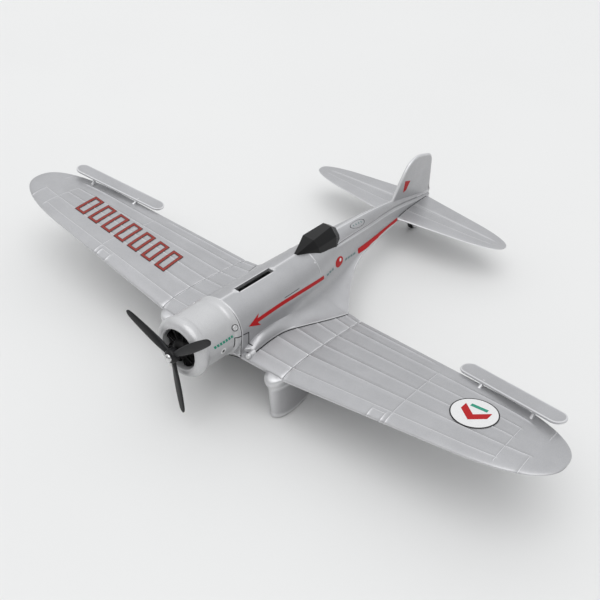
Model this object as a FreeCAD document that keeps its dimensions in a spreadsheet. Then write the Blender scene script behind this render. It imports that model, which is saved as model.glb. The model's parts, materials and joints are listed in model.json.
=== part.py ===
"""Die-cast propeller-plane coin bank: a silver low-wing racer that stands on its own three wheels.

Everything is drawn in the aircraft's own frame, in millimetres: the thrust line is the Y axis and
runs aft, X points to the port wing tip and Z is up. The origin is the middle of the propeller hub.
At the end each piece gets the stance, which tips the nose up onto the wheels and sets the lowest
and middle point of the whole model at the origin.
"""
import FreeCAD, Part
import math
import os
import Sketcher
from FreeCAD import Placement, Rotation, Vector

os.makedirs("parts", exist_ok=True)
doc = FreeCAD.newDocument("propeller_plane_bank")

# ---------------------------------------------------------------------------------------------
# Driving dimensions
# ---------------------------------------------------------------------------------------------
SIZES = {
    # stance
    "stance_deg": 6.75, "hub_height": 49.4,
    # wing
    "half_span": 195.0, "joint_x": 46.0, "wing_le": 36.7, "le_sweep": 0.042,
    "wing_te": 110.0, "te_sweep": 0.152, "root_thick": 0.115, "tip_thick": 0.095,
    "wing_z": -12.7, "dihedral_deg": 7.7, "tip_start": 145.0, "tip_mid_y": 65.0, "tip_power": 2.45,
    # fuselage
    "wall": 2.2, "nose_y": 35.4, "spigot_y": 29.0, "spigot_radius": 15.8, "tail_y": 253.5, "lip": 1.1,
    # coin slot
    "slot_length": 29.5, "slot_width": 4.2, "slot_mid_y": 64.3,
    # cowling and engine
    "cowl_front": 3.8, "cowl_rear": 35.2, "cowl_up": 1.3, "cowl_radius": 17.9,
    "cowl_tail_radius": 17.5, "cowl_mouth": 12.0, "cowl_brow": 14.6, "cowl_shoulder_y": 12.5,
    "cowl_bore": 15.9, "cowl_lip_depth": 9.0, "cowl_lip_round": 1.0, "cowl_brow_round": 2.2,
    "cowl_shoulder_round": 20.0,
    "engine_radius": 15.85, "engine_back": 15.7, "engine_plate": 3.0,
    "case_radius": 5.2, "case_front": 3.2, "barrel_radius": 2.1, "barrel_count": 9,
    "barrel_inner": 3.0, "barrel_reach": 8.8, "barrel_y": 8.4,
    # propeller
    "prop_radius": 37.0, "prop_start_deg": 42.2, "blade_count": 3, "hub_radius": 4.1,
    "hub_front": -2.4, "hub_back": 2.6, "pin_radius": 1.2, "pin_bore": 1.25,
    "pin_head": 1.9, "pin_head_length": 2.1, "pin_length": 17.0,
    # main gear
    "gear_x": 40.3, "gear_half_width": 5.4, "well_half_width": 3.6, "wheel_radius": 8.5,
    "wheel_half_width": 3.2, "wheel_y": 52.0, "axle_radius": 1.1, "axle_bore": 1.15,
    "trouser_gap": 1.0, "trouser_top": -16.0, "trouser_nose": 38.4, "trouser_chord": 36.0,
    "trouser_top_nose": 33.6, "trouser_top_chord": 54.0,
    "knuckle_nose": 31.4, "knuckle_chord": 58.0, "knuckle_half_width": 6.0,
    # tail wheel
    "tail_wheel_y": 238.5, "tail_wheel_radius": 4.2, "tail_wheel_half_width": 1.7,
    "tail_axle_radius": 0.8, "tail_axle_bore": 0.85, "fork_half_width": 3.2, "fork_length": 5.6,
    # tail
    "tail_half_span": 77.0, "tail_le": 205.0, "tail_le_sweep": 0.165, "tail_te": 249.5,
    "tail_te_sweep": 0.175, "tail_z": 1.1, "tail_thick": 0.075, "tail_tip_start": 48.0,
    "tail_tip_mid_y": 227.0, "tail_tip_power": 2.6,
    "fin_thick": 2.2,
    # ailerons
    "aileron_inner_x": 122.4, "aileron_outer_x": 177.4, "aileron_inner_y": 103.6,
    "aileron_outer_y": 89.2, "aileron_inner_z": -1.4, "aileron_outer_z": 9.2,
    "aileron_half_chord": 5.4, "aileron_thick": 1.5, "peg_radius": 1.1,
    "peg_inner_x": 133.5, "peg_outer_x": 166.3,
    # coin trap and lock
    "trap_y": 68.0, "boss_radius": 18.0, "boss_bottom": -18.4, "boss_top": -8.6,
    "trap_bore": 14.0, "trap_recess": 15.9, "flange_radius": 15.6, "flange_depth": 1.4,
    "plug_radius": 13.75, "plug_top": -9.6, "plug_wall": 1.8,
    "lock_offset": 6.0, "lock_radius": 4.0, "lock_bore": 4.05, "cam_length": 10.8,
    "cam_width": 4.0, "cam_thick": 1.4, "cam_bottom": -8.3, "keyway_width": 1.2,
    "keyway_length": 4.4, "keyway_depth": 5.0,
    # screws
    "screw_radius": 1.1, "screw_head": 2.3, "screw_head_depth": 1.5, "boss_r": 3.0,
    "drive_width": 0.6, "drive_depth": 0.7,
}

sheet = doc.addObject("Spreadsheet::Sheet", "Dims")
for row, (alias, value) in enumerate(SIZES.items(), start=1):
    sheet.set("A%d" % row, alias)
    sheet.set("B%d" % row, str(value))
    sheet.setAlias("B%d" % row, alias)
doc.recompute()


def size(alias):
    """The current value of one cell of the sheet."""
    return float(sheet.get(alias))


# ---------------------------------------------------------------------------------------------
# Sketch and feature helpers
# ---------------------------------------------------------------------------------------------
finished = {}


def new_body(name):
    body = doc.addObject("PartDesign::Body", name)
    body.Label = name
    finished[name] = body
    return body


def keep_shape(name, shape):
    """A piece whose surfaces are lofted: its solids go into one Part::Feature."""
    feature = doc.addObject("Part::Feature", name)
    feature.Label = name
    feature.Shape = shape.removeSplitter()
    finished[name] = feature
    return feature


def expression_value(text):
    """The number that a sheet expression such as 'Dims.wall + 1' stands for."""
    probe = doc.getObject("Probe") or doc.addObject("App::FeaturePython", "Probe")
    return float(probe.evalExpression(text))


def new_sketch(body, name, plane, offset="0"):
    sketch = body.newObject("Sketcher::SketchObject", name)
    role = {"XY": "XY_Plane", "XZ": "XZ_Plane", "YZ": "YZ_Plane"}[plane]
    support = [feature for feature in body.Origin.OriginFeatures if feature.Role == role][0]
    sketch.AttachmentSupport = (support, [""])
    sketch.MapMode = "FlatFace"
    sketch.setExpression(".AttachmentOffset.Base.z", offset)
    return sketch


def tie_point(sketch, geometry, point, across, up):
    """Holds one point at sheet expressions, or on an axis where the expression is 0."""
    if across == "0":
        sketch.addConstraint(Sketcher.Constraint("PointOnObject", geometry, point, -2))
    else:
        value = expression_value(across)
        at = sketch.addConstraint(Sketcher.Constraint("DistanceX", -1, 1, geometry, point, value))
        sketch.setExpression("Constraints[%d]" % at, across)
    if up == "0":
        sketch.addConstraint(Sketcher.Constraint("PointOnObject", geometry, point, -1))
    else:
        value = expression_value(up)
        at = sketch.addConstraint(Sketcher.Constraint("DistanceY", -1, 1, geometry, point, value))
        sketch.setExpression("Constraints[%d]" % at, up)


def outline_sketch(body, name, plane, corners, offset="0"):
    """A closed outline of straight lines through corners given as pairs of expressions."""
    sketch = new_sketch(body, name, plane, offset)
    spots = [Vector(expression_value(a), expression_value(b), 0) for a, b in corners]
    count = len(spots)
    for index in range(count):
        sketch.addGeometry(Part.LineSegment(spots[index], spots[(index + 1) % count]), False)
    for index in range(count):
        following = (index + 1) % count
        sketch.addConstraint(Sketcher.Constraint("Coincident", index, 2, following, 1))
    for index, (across, up) in enumerate(corners):
        tie_point(sketch, index, 1, across, up)
    return sketch


def circle_sketch(body, name, plane, circles, offset="0"):
    """Circles given as (across, up, radius) expressions."""
    sketch = new_sketch(body, name, plane, offset)
    for index, (across, up, radius) in enumerate(circles):
        middle = Vector(expression_value(across), expression_value(up), 0)
        value = expression_value(radius)
        sketch.addGeometry(Part.Circle(middle, Vector(0, 0, 1), value), False)
        tie_point(sketch, index, 3, across, up)
        at = sketch.addConstraint(Sketcher.Constraint("Radius", index, value))
        sketch.setExpression("Constraints[%d]" % at, radius)
    return sketch


def pad(body, sketch, length, middle=False, backwards=False):
    feature = body.newObject("PartDesign::Pad", sketch.Name + "_pad")
    feature.Profile = sketch
    feature.setExpression("Length", length)
    feature.Midplane = middle
    feature.Reversed = backwards
    doc.recompute()
    return feature


def pocket(body, sketch, length, middle=False, backwards=False):
    before = body.Shape.Volume
    feature = body.newObject("PartDesign::Pocket", sketch.Name + "_pocket")
    feature.Profile = sketch
    feature.setExpression("Length", length)
    feature.Midplane = middle
    feature.Reversed = backwards
    doc.recompute()
    if body.Shape.Volume > before - 1e-6:
        raise RuntimeError(sketch.Name + " cuts nothing")
    return feature


def revolve(body, sketch, axis="V_Axis"):
    feature = body.newObject("PartDesign::Revolution", sketch.Name + "_turned")
    feature.Profile = sketch
    feature.ReferenceAxis = (sketch, [axis])
    feature.Angle = 360.0
    doc.recompute()
    return feature


def fillet_edges(body, base, radius, choose):
    names = ["Edge%d" % (i + 1) for i, edge in enumerate(base.Shape.Edges) if choose(edge)]
    feature = body.newObject("PartDesign::Fillet", base.Name + "_round")
    feature.Base = (base, names)
    feature.setExpression("Radius", radius)
    doc.recompute()
    return feature


def ring_edge(edge, radius, y):
    """True for a full circle about the Y axis with this radius at this distance aft."""
    curve = edge.Curve
    if not isinstance(curve, Part.Circle):
        return False
    return abs(curve.Radius - radius) < 1e-3 and abs(curve.Center.y - y) < 1e-3


# ---------------------------------------------------------------------------------------------
# Lofted shapes
# ---------------------------------------------------------------------------------------------
def slope_at(points, index):
    """Slope of the smooth curve through (place, value) pairs at one of them."""
    before = points[max(index - 1, 0)]
    after = points[min(index + 1, len(points) - 1)]
    return (after[1] - before[1]) / (after[0] - before[0])


def blend(points, at):
    """Value at a place, on the smooth curve through (place, value) pairs."""
    if at <= points[0][0]:
        return points[0][1]
    for index in range(len(points) - 1):
        (x0, v0), (x1, v1) = points[index], points[index + 1]
        if at <= x1:
            run = x1 - x0
            share = (at - x0) / run
            ease = share * share * (3.0 - 2.0 * share)
            lead = run * slope_at(points, index) * share * (1.0 - share) ** 2
            trail = run * slope_at(points, index + 1) * share * share * (1.0 - share)
            return v0 + (v1 - v0) * ease + lead - trail
    return points[-1][1]


def smooth_edge(points):
    curve = Part.BSplineCurve()
    curve.interpolate(points)
    return curve.toShape()


def foil_thickness(share):
    """Half thickness of a classic four-digit foil, for a thickness ratio of one."""
    root = 0.2969 * math.sqrt(share)
    rest = -0.126 * share - 0.3516 * share ** 2 + 0.2843 * share ** 3 - 0.1036 * share ** 4
    return 5.0 * (root + rest)


def foil_wire(start, chord, ratio, point_at):
    """Closed foil outline: an upper and a lower curve and a thin blunt trailing edge.

    point_at turns (along the chord, across it) into a point in space."""
    steps = 12
    shares = [(1.0 - math.cos(math.pi * i / steps)) / 2.0 for i in range(steps + 1)]
    blunt = 0.35
    upper = []
    lower = []
    for share in shares:
        half = foil_thickness(share) * ratio * chord + blunt * share
        upper.append(point_at(start + share * chord, half))
        lower.append(point_at(start + share * chord, -half))
    lower[0] = upper[0]
    edges = [smooth_edge(upper), Part.makeLine(upper[-1], lower[-1]), smooth_edge(lower[::-1])]
    return Part.Wire(edges)


def tip_round(x, start, end, power):
    """0 before the tip starts, rising to 1 at the tip, along a rounded (superelliptic) end."""
    if x <= start:
        return 0.0
    share = min((x - start) / (end - start), 1.0)
    return 1.0 - (1.0 - share ** power) ** (1.0 / power)


def wing_edges(x):
    """Leading and trailing edge of the wing at a distance from the centreline."""
    leading = size("wing_le") + size("le_sweep") * (x - size("joint_x"))
    trailing = size("wing_te") - size("te_sweep") * (x - size("joint_x"))
    pull = tip_round(x, size("tip_start"), size("half_span"), size("tip_power"))
    middle = size("tip_mid_y")
    return leading + (middle - leading) * pull, trailing + (middle - trailing) * pull


def wing_height(x):
    """Height of the wing's chord line: level in the centre section, then rising outboard."""
    rise = math.tan(math.radians(size("dihedral_deg")))
    return size("wing_z") + rise * max(x - size("joint_x"), 0.0)


def wing_ratio(x):
    share = (x - size("joint_x")) / (size("half_span") - size("joint_x"))
    return size("root_thick") + (size("tip_thick") - size("root_thick")) * max(share, 0.0)


def wing_section(x, side):
    leading, trailing = wing_edges(x)
    height = wing_height(x)
    return foil_wire(leading, trailing - leading, wing_ratio(x),
                     lambda along, across: Vector(side * x, along, height + across))


def tip_stations(start, tip_start, end, steps):
    """Where a surface starts, where its rounded tip starts, then steps that close up to its end."""
    reach = 0.998 * (end - tip_start)
    return [start] + [tip_start + reach * math.sin(math.pi / 2 * i / steps)
                      for i in range(steps + 1)]


def box(x0, x1, y0, y1, z0, z1):
    return Part.makeBox(x1 - x0, y1 - y0, z1 - z0, Vector(x0, y0, z0))


def rod(radius, start, end):
    along = end.sub(start)
    return Part.makeCylinder(radius, along.Length, start, along)


def mirrored(shape):
    return shape.mirror(Vector(0, 0, 0), Vector(1, 0, 0))


# Fuselage stations: how far aft, half width, top, bottom, widest height, and how full the top is.
STATIONS = [
    (29.0, 17.2, 17.6, -17.0, 0.4, 2.05),
    (40.0, 17.4, 17.6, -17.3, 0.4, 2.05),
    (52.0, 17.5, 17.5, -17.4, 0.3, 2.05),
    (66.0, 17.4, 17.4, -17.3, 0.2, 2.05),
    (82.0, 17.2, 17.4, -17.0, 0.1, 2.05),
    (101.7, 16.4, 17.6, -16.4, 0.2, 2.0),
    (118.0, 14.8, 17.9, -15.0, 0.4, 2.0),
    (136.0, 12.6, 18.4, -13.2, 0.8, 1.95),
    (154.0, 10.6, 18.2, -11.2, 1.2, 1.85),
    (174.0, 8.5, 17.2, -9.2, 1.6, 1.75),
    (196.0, 6.3, 15.0, -7.4, 1.8, 1.7),
    (220.0, 4.2, 11.0, -5.8, 1.6, 1.7),
    (244.0, 2.4, 6.3, -4.6, 1.2, 1.8),
    (253.5, 1.6, 4.0, -4.2, 1.0, 1.9),
]
# Outer edge of the wing-root fillet: how far aft, how far out.
FILLET_ON_WING = [(34.0, 20.6), (42.0, 22.3), (55.0, 22.4), (64.0, 22.9), (70.0, 24.2), (79.0, 27.4),
                  (90.0, 31.2), (100.0, 34.2), (110.0, 36.6)]
FILLET_BEHIND = [(110.0, 36.6), (116.0, 32.6), (122.0, 28.4), (135.0, 20.6), (145.0, 16.2),
                 (154.0, 13.6), (170.0, 10.4), (196.0, 6.8), (253.5, 1.65)]


def station(y, column):
    return blend([(row[0], row[column]) for row in STATIONS], y)


def wing_top(y, x):
    """Height of the wing's upper surface at a point of the centre section, or its trailing edge."""
    leading, trailing = wing_edges(size("joint_x"))
    share = min(max((y - leading) / (trailing - leading), 0.0), 1.0)
    half = foil_thickness(share) * wing_ratio(size("joint_x")) * (trailing - leading)
    return wing_height(x) + half


def side_height(y):
    """Where the fillet's outer edge lies: on the wing, then rising to the fuselage side aft of it."""
    on_wing = wing_top(y, size("joint_x")) + size("lip")
    behind = blend([(110.0, 0.0), (154.0, 1.0), (174.0, 1.0)], y)
    return on_wing + (station(y, 4) - 2.0 - on_wing) * behind


def body_point(y, turn, shrink=0.0):
    """A point of the plain fuselage section; turn is 0 at the top and pi at the bottom."""
    half = station(y, 1) - shrink
    middle = station(y, 4)
    power = 2.0 / station(y, 5)
    if turn <= math.pi / 2:
        reach = station(y, 2) - middle - shrink
        up = reach * math.cos(turn) ** power
    else:
        reach = middle - station(y, 3) - shrink
        up = -reach * (-math.cos(turn)) ** (2.0 / 2.3)
        power = 2.0 / 2.3
    return max(half, 0.2) * math.sin(turn) ** power, middle + up


def outer_half_wire(y):
    """Port half of the outer section: body side, concave fillet, fillet edge, belly, centreline."""
    side_turns = [0.0, 0.2, 0.42, 0.66, 0.92, 1.2, 1.45]
    upper = [body_point(y, turn) for turn in side_turns]
    fillet = FILLET_ON_WING if y <= FILLET_BEHIND[0][0] else FILLET_BEHIND
    edge_out = max(blend(fillet, y), station(y, 1) + 0.05)
    edge_up = side_height(y)
    shoulder_x, shoulder_z = upper[-1]
    for share in (0.3, 0.55, 0.78):
        # the hollow of the fillet: first down the body side, then out along the wing
        out = shoulder_x + (edge_out - shoulder_x) * share ** 1.9
        drop = shoulder_z + (edge_up - shoulder_z) * (1.0 - (1.0 - share) ** 1.9)
        upper.append((out, drop))
    upper.append((edge_out, edge_up))
    under = edge_up - size("lip") - 0.4
    belly = station(y, 3)
    lower = [(edge_out, under), (edge_out * 0.72, under + (belly - under) * 0.34),
             (edge_out * 0.40, under + (belly - under) * 0.80), (0.0, belly)]
    top = [Vector(x, y, z) for x, z in upper]
    base = [Vector(x, y, z) for x, z in lower]
    edges = [smooth_edge(top), Part.makeLine(top[-1], base[0]), smooth_edge(base),
             Part.makeLine(base[-1], top[0])]
    return Part.Wire(edges)


def inner_half_wire(y, shrink):
    turns = [math.pi * i / 12 for i in range(13)]
    spots = [Vector(x, y, z) for x, z in (body_point(y, turn, shrink) for turn in turns)]
    spots[0].x = 0.0
    spots[-1].x = 0.0
    return Part.Wire([smooth_edge(spots), Part.makeLine(spots[-1], spots[0])])


def loft(wires):
    return Part.makeLoft(wires, True, True)


# ---------------------------------------------------------------------------------------------
# Wing: centre section, outer panels, ailerons
# ---------------------------------------------------------------------------------------------
SOCKET_SPARE = 0.02
GEAR_SCREW_Y = 60.0
GEAR_SCREW_TOP = -13.6


def teardrop(nose, chord, half_width, z):
    """Streamlined outline lying flat at height z, centred on the gear leg."""
    ratio = 2.0 * half_width / chord
    return foil_wire(nose, chord, ratio,
                     lambda along, across: Vector(size("gear_x") + across, along, z))


def ground_height(y):
    """Height of the floor below a point, in the aircraft's frame."""
    pitch = math.radians(size("stance_deg"))
    return (-size("hub_height") + y * math.sin(pitch)) / math.cos(pitch)


def axle_height(y, radius):
    pitch = math.radians(size("stance_deg"))
    return (radius - size("hub_height") + y * math.sin(pitch)) / math.cos(pitch)


def gear_knuckle():
    """The swelling of the leading edge that the gear leg hangs from."""
    low = teardrop(size("trouser_top_nose") - 0.8, size("trouser_top_chord") + 2.0,
                   size("gear_half_width") + 0.3, size("trouser_top") - 3.0)
    mid = teardrop(size("knuckle_nose"), size("knuckle_chord"), size("knuckle_half_width"), -14.4)
    high = teardrop(size("knuckle_nose") + 1.2, size("knuckle_chord") - 6.0,
                    size("knuckle_half_width") - 0.8, -11.6)
    return loft([low, mid, high])


def centre_outer():
    reach = size("joint_x")
    sections = [wing_section(reach, -1), wing_section(reach, 1)]
    return loft(sections)


def wing_screw_spots():
    return [Vector(13.0, 43.0, 0), Vector(-13.0, 43.0, 0), Vector(10.3, 94.0, 0),
            Vector(-10.3, 94.0, 0)]


def trap_axis(z):
    return Vector(0, size("trap_y"), z)


def tongue(side, spare):
    """The outer panel's peg, or with spare the socket in the centre section that takes it."""
    inner = size("joint_x") - 9.0 - spare
    outer = size("joint_x") + 6.0
    half_thick = 1.5 + spare
    middle = size("wing_z") + 0.8
    peg = box(inner, outer, 54.0 - spare, 76.0 + spare, middle - half_thick, middle + half_thick)
    return peg if side > 0 else mirrored(peg)


def screw_seat():
    """Height at which a wing screw's head sits, just inside the wing's lower skin."""
    return size("wing_z") - 0.8


def wing_center_section():
    knuckle = gear_knuckle()
    boss = rod(size("boss_radius"), trap_axis(size("boss_bottom")), trap_axis(size("boss_top")))
    solid = centre_outer().fuse([knuckle, mirrored(knuckle), boss])
    bore = rod(size("trap_bore"), trap_axis(-30.0), trap_axis(0.0))
    shoulder = size("boss_bottom") + size("flange_depth")
    recess = rod(size("trap_recess"), trap_axis(-30.0), trap_axis(shoulder))
    solid = solid.cut([bore, recess, tongue(1, SOCKET_SPARE), tongue(-1, SOCKET_SPARE)])
    for spot in wing_screw_spots():
        below = spot + Vector(0, 0, -30)
        solid = solid.cut(rod(size("screw_radius") + 0.1, below, spot))
        solid = solid.cut(rod(size("screw_head") + 0.15, below, spot + Vector(0, 0, screw_seat())))
    for side in (1, -1):
        spot = Vector(side * size("gear_x"), GEAR_SCREW_Y, 0)
        hole = rod(size("screw_radius"), spot + Vector(0, 0, -22), spot + Vector(0, 0, GEAR_SCREW_TOP))
        solid = solid.cut(hole)
    return solid


def wing_panel(side):
    gap = 0.15
    stations = tip_stations(size("joint_x") + gap, size("tip_start"), size("half_span"), 14)
    panel = loft([wing_section(x, side) for x in stations])
    panel = panel.fuse(tongue(side, 0.0).common(box(-60, 60, 40, 90, -20, 0)))
    for x in (size("peg_inner_x"), size("peg_outer_x")):
        post = aileron_peg(x)
        panel = panel.cut(post if side > 0 else mirrored(post))
    return panel


def aileron_line(x):
    """Centreline of the raised aileron, which is level with the wing but above its trailing edge."""
    share = (x - size("aileron_inner_x")) / (size("aileron_outer_x") - size("aileron_inner_x"))
    y = size("aileron_inner_y") + (size("aileron_outer_y") - size("aileron_inner_y")) * share
    z = size("aileron_inner_z") + (size("aileron_outer_z") - size("aileron_inner_z")) * share
    return y, z


def aileron_peg(x):
    """Post that leans back from the wing's upper skin to the front half of the plate."""
    y, z = aileron_line(x)
    trailing = wing_edges(x)[1]
    foot = Vector(x, trailing - 4.6, wing_height(x) - 0.5)
    return rod(size("peg_radius"), foot, Vector(x, y - 2.6, z + 0.7))


def aileron(side):
    """A flat round-ended plate on two pegs, carried above the wing's trailing edge."""
    x0, x1 = size("aileron_inner_x"), size("aileron_outer_x")
    y0, z0 = aileron_line(x0)
    y1, z1 = aileron_line(x1)
    along = Vector(x1 - x0, y1 - y0, z1 - z0)
    half = size("aileron_half_chord")
    straight = box(0, along.Length, -half, half, 0, size("aileron_thick"))
    ends = [rod(half, Vector(at, 0, 0), Vector(at, 0, size("aileron_thick")))
            for at in (0.0, along.Length)]
    plate = straight.fuse(ends).removeSplitter()
    plate = plate.makeFillet(0.5, [e for e in plate.Edges if abs(e.BoundBox.ZLength) < 1e-6])
    yaw = math.degrees(math.atan2(along.y, along.x))
    roll = -math.degrees(math.asin(along.z / along.Length))
    turn = Rotation(Vector(0, 0, 1), yaw).multiply(Rotation(Vector(0, 1, 0), roll))
    plate.Placement = Placement(Vector(x0, y0, z0), turn)
    whole = plate.fuse([aileron_peg(x) for x in (size("peg_inner_x"), size("peg_outer_x"))])
    return whole if side > 0 else mirrored(whole)


# ---------------------------------------------------------------------------------------------
# Tail
# ---------------------------------------------------------------------------------------------
def tail_edges(x):
    leading = size("tail_le") + size("tail_le_sweep") * x
    trailing = size("tail_te") - size("tail_te_sweep") * x
    pull = tip_round(x, size("tail_tip_start"), size("tail_half_span"), size("tail_tip_power"))
    middle = size("tail_tip_mid_y")
    return leading + (middle - leading) * pull, trailing + (middle - trailing) * pull


def tailplane():
    """One casting from tip to tip, passing through the tail cone."""
    stations = tip_stations(0.0, size("tail_tip_start"), size("tail_half_span"), 12)
    wires = []
    for x in stations:
        leading, trailing = tail_edges(x)
        wires.append(foil_wire(leading, trailing - leading, size("tail_thick"),
                               lambda along, across: Vector(x, along, size("tail_z") + across)))
    port = loft(wires)
    return port.fuse(mirrored(port)).removeSplitter()


def fin_face(x):
    """Side outline of the fin and rudder, with the tang that the two halves hold."""
    root = Vector(x, 202.5, 11.6)
    low = Vector(x, 209.4, 22.0)
    high = Vector(x, 221.4, 36.8)
    crown = Vector(x, 230.5, 39.0)
    rear_crown = Vector(x, 243.5, 36.0)
    heel = Vector(x, 249.8, 29.0)
    foot = Vector(x, 253.4, 3.0)
    tang_rear = Vector(x, 250.5, 3.0)
    tang_front = Vector(x, 206.0, 5.2)
    leading = Part.BSplineCurve()
    leading.interpolate([root, low, Vector(x, 215.2, 30.9), high])
    edges = [
        leading.toShape(),
        Part.Arc(high, Vector(x, 225.4, 38.5), crown).toShape(),
        Part.makeLine(crown, rear_crown),
        Part.Arc(rear_crown, Vector(x, 248.0, 33.6), heel).toShape(),
        Part.makeLine(heel, foot),
        Part.makeLine(foot, tang_rear),
        Part.makeLine(tang_rear, tang_front),
        Part.makeLine(tang_front, root),
    ]
    return Part.Face(Part.Wire(edges))


def fin():
    half = size("fin_thick") / 2.0
    return fin_face(-half).extrude(Vector(2 * half, 0, 0))


def tail_fork():
    """Stem and two ears under the tail cone; the tail wheel's pin goes through the ears."""
    y = size("tail_wheel_y")
    z = axle_height(y, size("tail_wheel_radius"))
    half = size("fork_half_width")
    reach = size("fork_length") / 2.0
    top = -1.6
    block = box(-half, half, y - reach, y + reach, z, top)
    ears = rod(reach, Vector(-half, y, z), Vector(half, y, z))
    clear = size("tail_wheel_half_width") + 0.3
    gap_top = z + size("tail_wheel_radius") + 0.6
    slot = box(-clear, clear, y - 10, y + 10, z - 10, gap_top)
    pin = rod(size("tail_axle_radius"), Vector(-10, y, z), Vector(10, y, z))
    neck_cut = [box(1.5, 10, y - 10, y + 10, gap_top + 1.6, 10),
                box(-10, -1.5, y - 10, y + 10, gap_top + 1.6, 10)]
    return block.fuse(ears).cut([slot, pin] + neck_cut)


# ---------------------------------------------------------------------------------------------
# Landing gear legs
# ---------------------------------------------------------------------------------------------
def gear_trouser(side):
    """Hollow streamlined leg; the wheel turns inside and shows below its open foot."""
    tall = loft([
        teardrop(size("trouser_nose") + 1.0, size("trouser_chord") - 2.0,
                 size("gear_half_width"), -52.0),
        teardrop(size("trouser_nose") - 1.6, size("trouser_chord") + 7.0,
                 size("gear_half_width"), -36.0),
        teardrop(size("trouser_top_nose"), size("trouser_top_chord"),
                 size("gear_half_width") + 0.2, size("trouser_top") - 3.0),
    ])
    pitch = math.radians(size("stance_deg"))
    floor = Part.makeBox(60, 120, 40)
    lift = size("trouser_gap") / math.cos(pitch)
    floor.Placement = Placement(Vector(10, 0, ground_height(0) + lift - 40 / math.cos(pitch)),
                                Rotation(Vector(1, 0, 0), size("stance_deg")))
    leg = tall.cut(floor)
    half = size("well_half_width")
    wheel_z = axle_height(size("wheel_y"), size("wheel_radius"))
    reach = size("wheel_radius") + 1.0
    middle = size("gear_x")
    y = size("wheel_y")
    arch = rod(reach, Vector(middle - half, y, wheel_z), Vector(middle + half, y, wheel_z))
    well = box(middle - half, middle + half, y - reach, y + reach, -60, wheel_z)
    shaft = box(middle - 2.6, middle + 2.6, GEAR_SCREW_Y - 3.0, GEAR_SCREW_Y + 3.0,
                wheel_z, size("trouser_top") - 6.0)
    pin = rod(size("axle_radius"), Vector(middle - 9, y, wheel_z), Vector(middle + 9, y, wheel_z))
    screw = rod(size("screw_radius") + 0.1, Vector(middle, GEAR_SCREW_Y, -30),
                Vector(middle, GEAR_SCREW_Y, -10))
    leg = leg.cut([arch, well, shaft, pin, screw])
    return leg if side > 0 else mirrored(leg)


# ---------------------------------------------------------------------------------------------
# Build the castings
# ---------------------------------------------------------------------------------------------
centre = wing_center_section()
panels = {side: wing_panel(side) for side in (1, -1)}
tail = tailplane()
fin_solid = fin()
fork = tail_fork()

def steps(start, end, count):
    return [start + (end - start) * i / count for i in range(count + 1)]


corner_y = FILLET_BEHIND[0][0]
hull = loft([outer_half_wire(y) for y in steps(size("nose_y"), corner_y, 10)]
            + [outer_half_wire(y) for y in steps(corner_y, size("tail_y"), 20)[1:]])
hollow = loft([inner_half_wire(y, size("wall")) for y in steps(38.0, 196.0, 14)])
spigot = rod(size("spigot_radius"), Vector(0, size("spigot_y"), size("cowl_up")),
             Vector(0, 38.0, size("cowl_up"))).common(box(0, 60, 0, 60, -60, 60))
hull = hull.fuse(spigot)

# Screws that clamp the halves run across, from the starboard side: (aft, up, half width there).
CLAMP_SPOTS = [(39.5, 4.0), (112.0, 4.0), (166.0, 5.0)]


def fuselage_half(side):
    shell = hull.cut(hollow)
    slot = box(-1, size("slot_width") / 2.0,
               size("slot_mid_y") - size("slot_length") / 2.0,
               size("slot_mid_y") + size("slot_length") / 2.0, 5.0, 30.0)
    posts = []
    for y, z in CLAMP_SPOTS:
        posts.append(rod(size("boss_r"), Vector(0, y, z), Vector(station(y, 1) - 1.4, y, z)))
    for spot in wing_screw_spots()[::2]:
        posts.append(rod(size("boss_r"), Vector(spot.x, spot.y, -12.0), Vector(spot.x, spot.y, -1.5)))
    shell = shell.fuse([post.common(hull) for post in posts]).cut(slot)
    belly = box(-1, 60, wing_edges(0)[0] + 0.6, wing_edges(0)[1] - 0.6, -40, size("wing_z"))
    shell = shell.cut(belly)
    if side < 0:
        shell = mirrored(shell)
    for y, z in CLAMP_SPOTS:
        if side > 0:
            hole = rod(size("screw_radius"), Vector(-1, y, z), Vector(6.5, y, z))
        else:
            hole = rod(size("screw_radius") + 0.1, Vector(1, y, z), Vector(-30, y, z))
            seat = -station(y, 1) + 2.4
            shell = shell.cut(rod(size("screw_head") + 0.15, Vector(seat, y, z), Vector(-30, y, z)))
        shell = shell.cut(hole)
    for spot in wing_screw_spots():
        shell = shell.cut(rod(size("screw_radius"), spot + Vector(0, 0, -20), spot + Vector(0, 0, -3.5)))
    hatch = rod(size("trap_bore"), trap_axis(-30.0), trap_axis(size("cam_bottom") + 2.0))
    return shell.cut([hatch, centre, tail, fin_solid, fork])


def main_solid(shape):
    return max(shape.Solids, key=lambda solid: solid.Volume)


keep_shape("fuselage_left", main_solid(fuselage_half(1)))
keep_shape("fuselage_right", main_solid(fuselage_half(-1)))
keep_shape("wing_center_section", main_solid(centre))
keep_shape("wing_panel_left", main_solid(panels[1]))
keep_shape("wing_panel_right", main_solid(panels[-1]))
keep_shape("aileron_left", main_solid(aileron(1)))
keep_shape("aileron_right", main_solid(aileron(-1)))
keep_shape("tailplane", main_solid(tail))
keep_shape("fin", main_solid(fin_solid))
keep_shape("tail_wheel_fork", main_solid(fork))
for side, word in ((1, "left"), (-1, "right")):
    keep_shape("gear_trouser_" + word, main_solid(gear_trouser(side).cut(centre)))


# ---------------------------------------------------------------------------------------------
# Canopy: a faceted windscreen, then a round-backed barrel
# ---------------------------------------------------------------------------------------------
def canopy_section(y, foot_half, foot_z, shoulder_half, shoulder_z, crown_half, crown_z):
    half = [(foot_half, foot_z), (foot_half, foot_z + 2.0), (shoulder_half, shoulder_z),
            (crown_half, crown_z)]
    spots = [Vector(x, y, z) for x, z in half] + [Vector(-x, y, z) for x, z in reversed(half)]
    return Part.makePolygon(spots + spots[:1])


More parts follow.
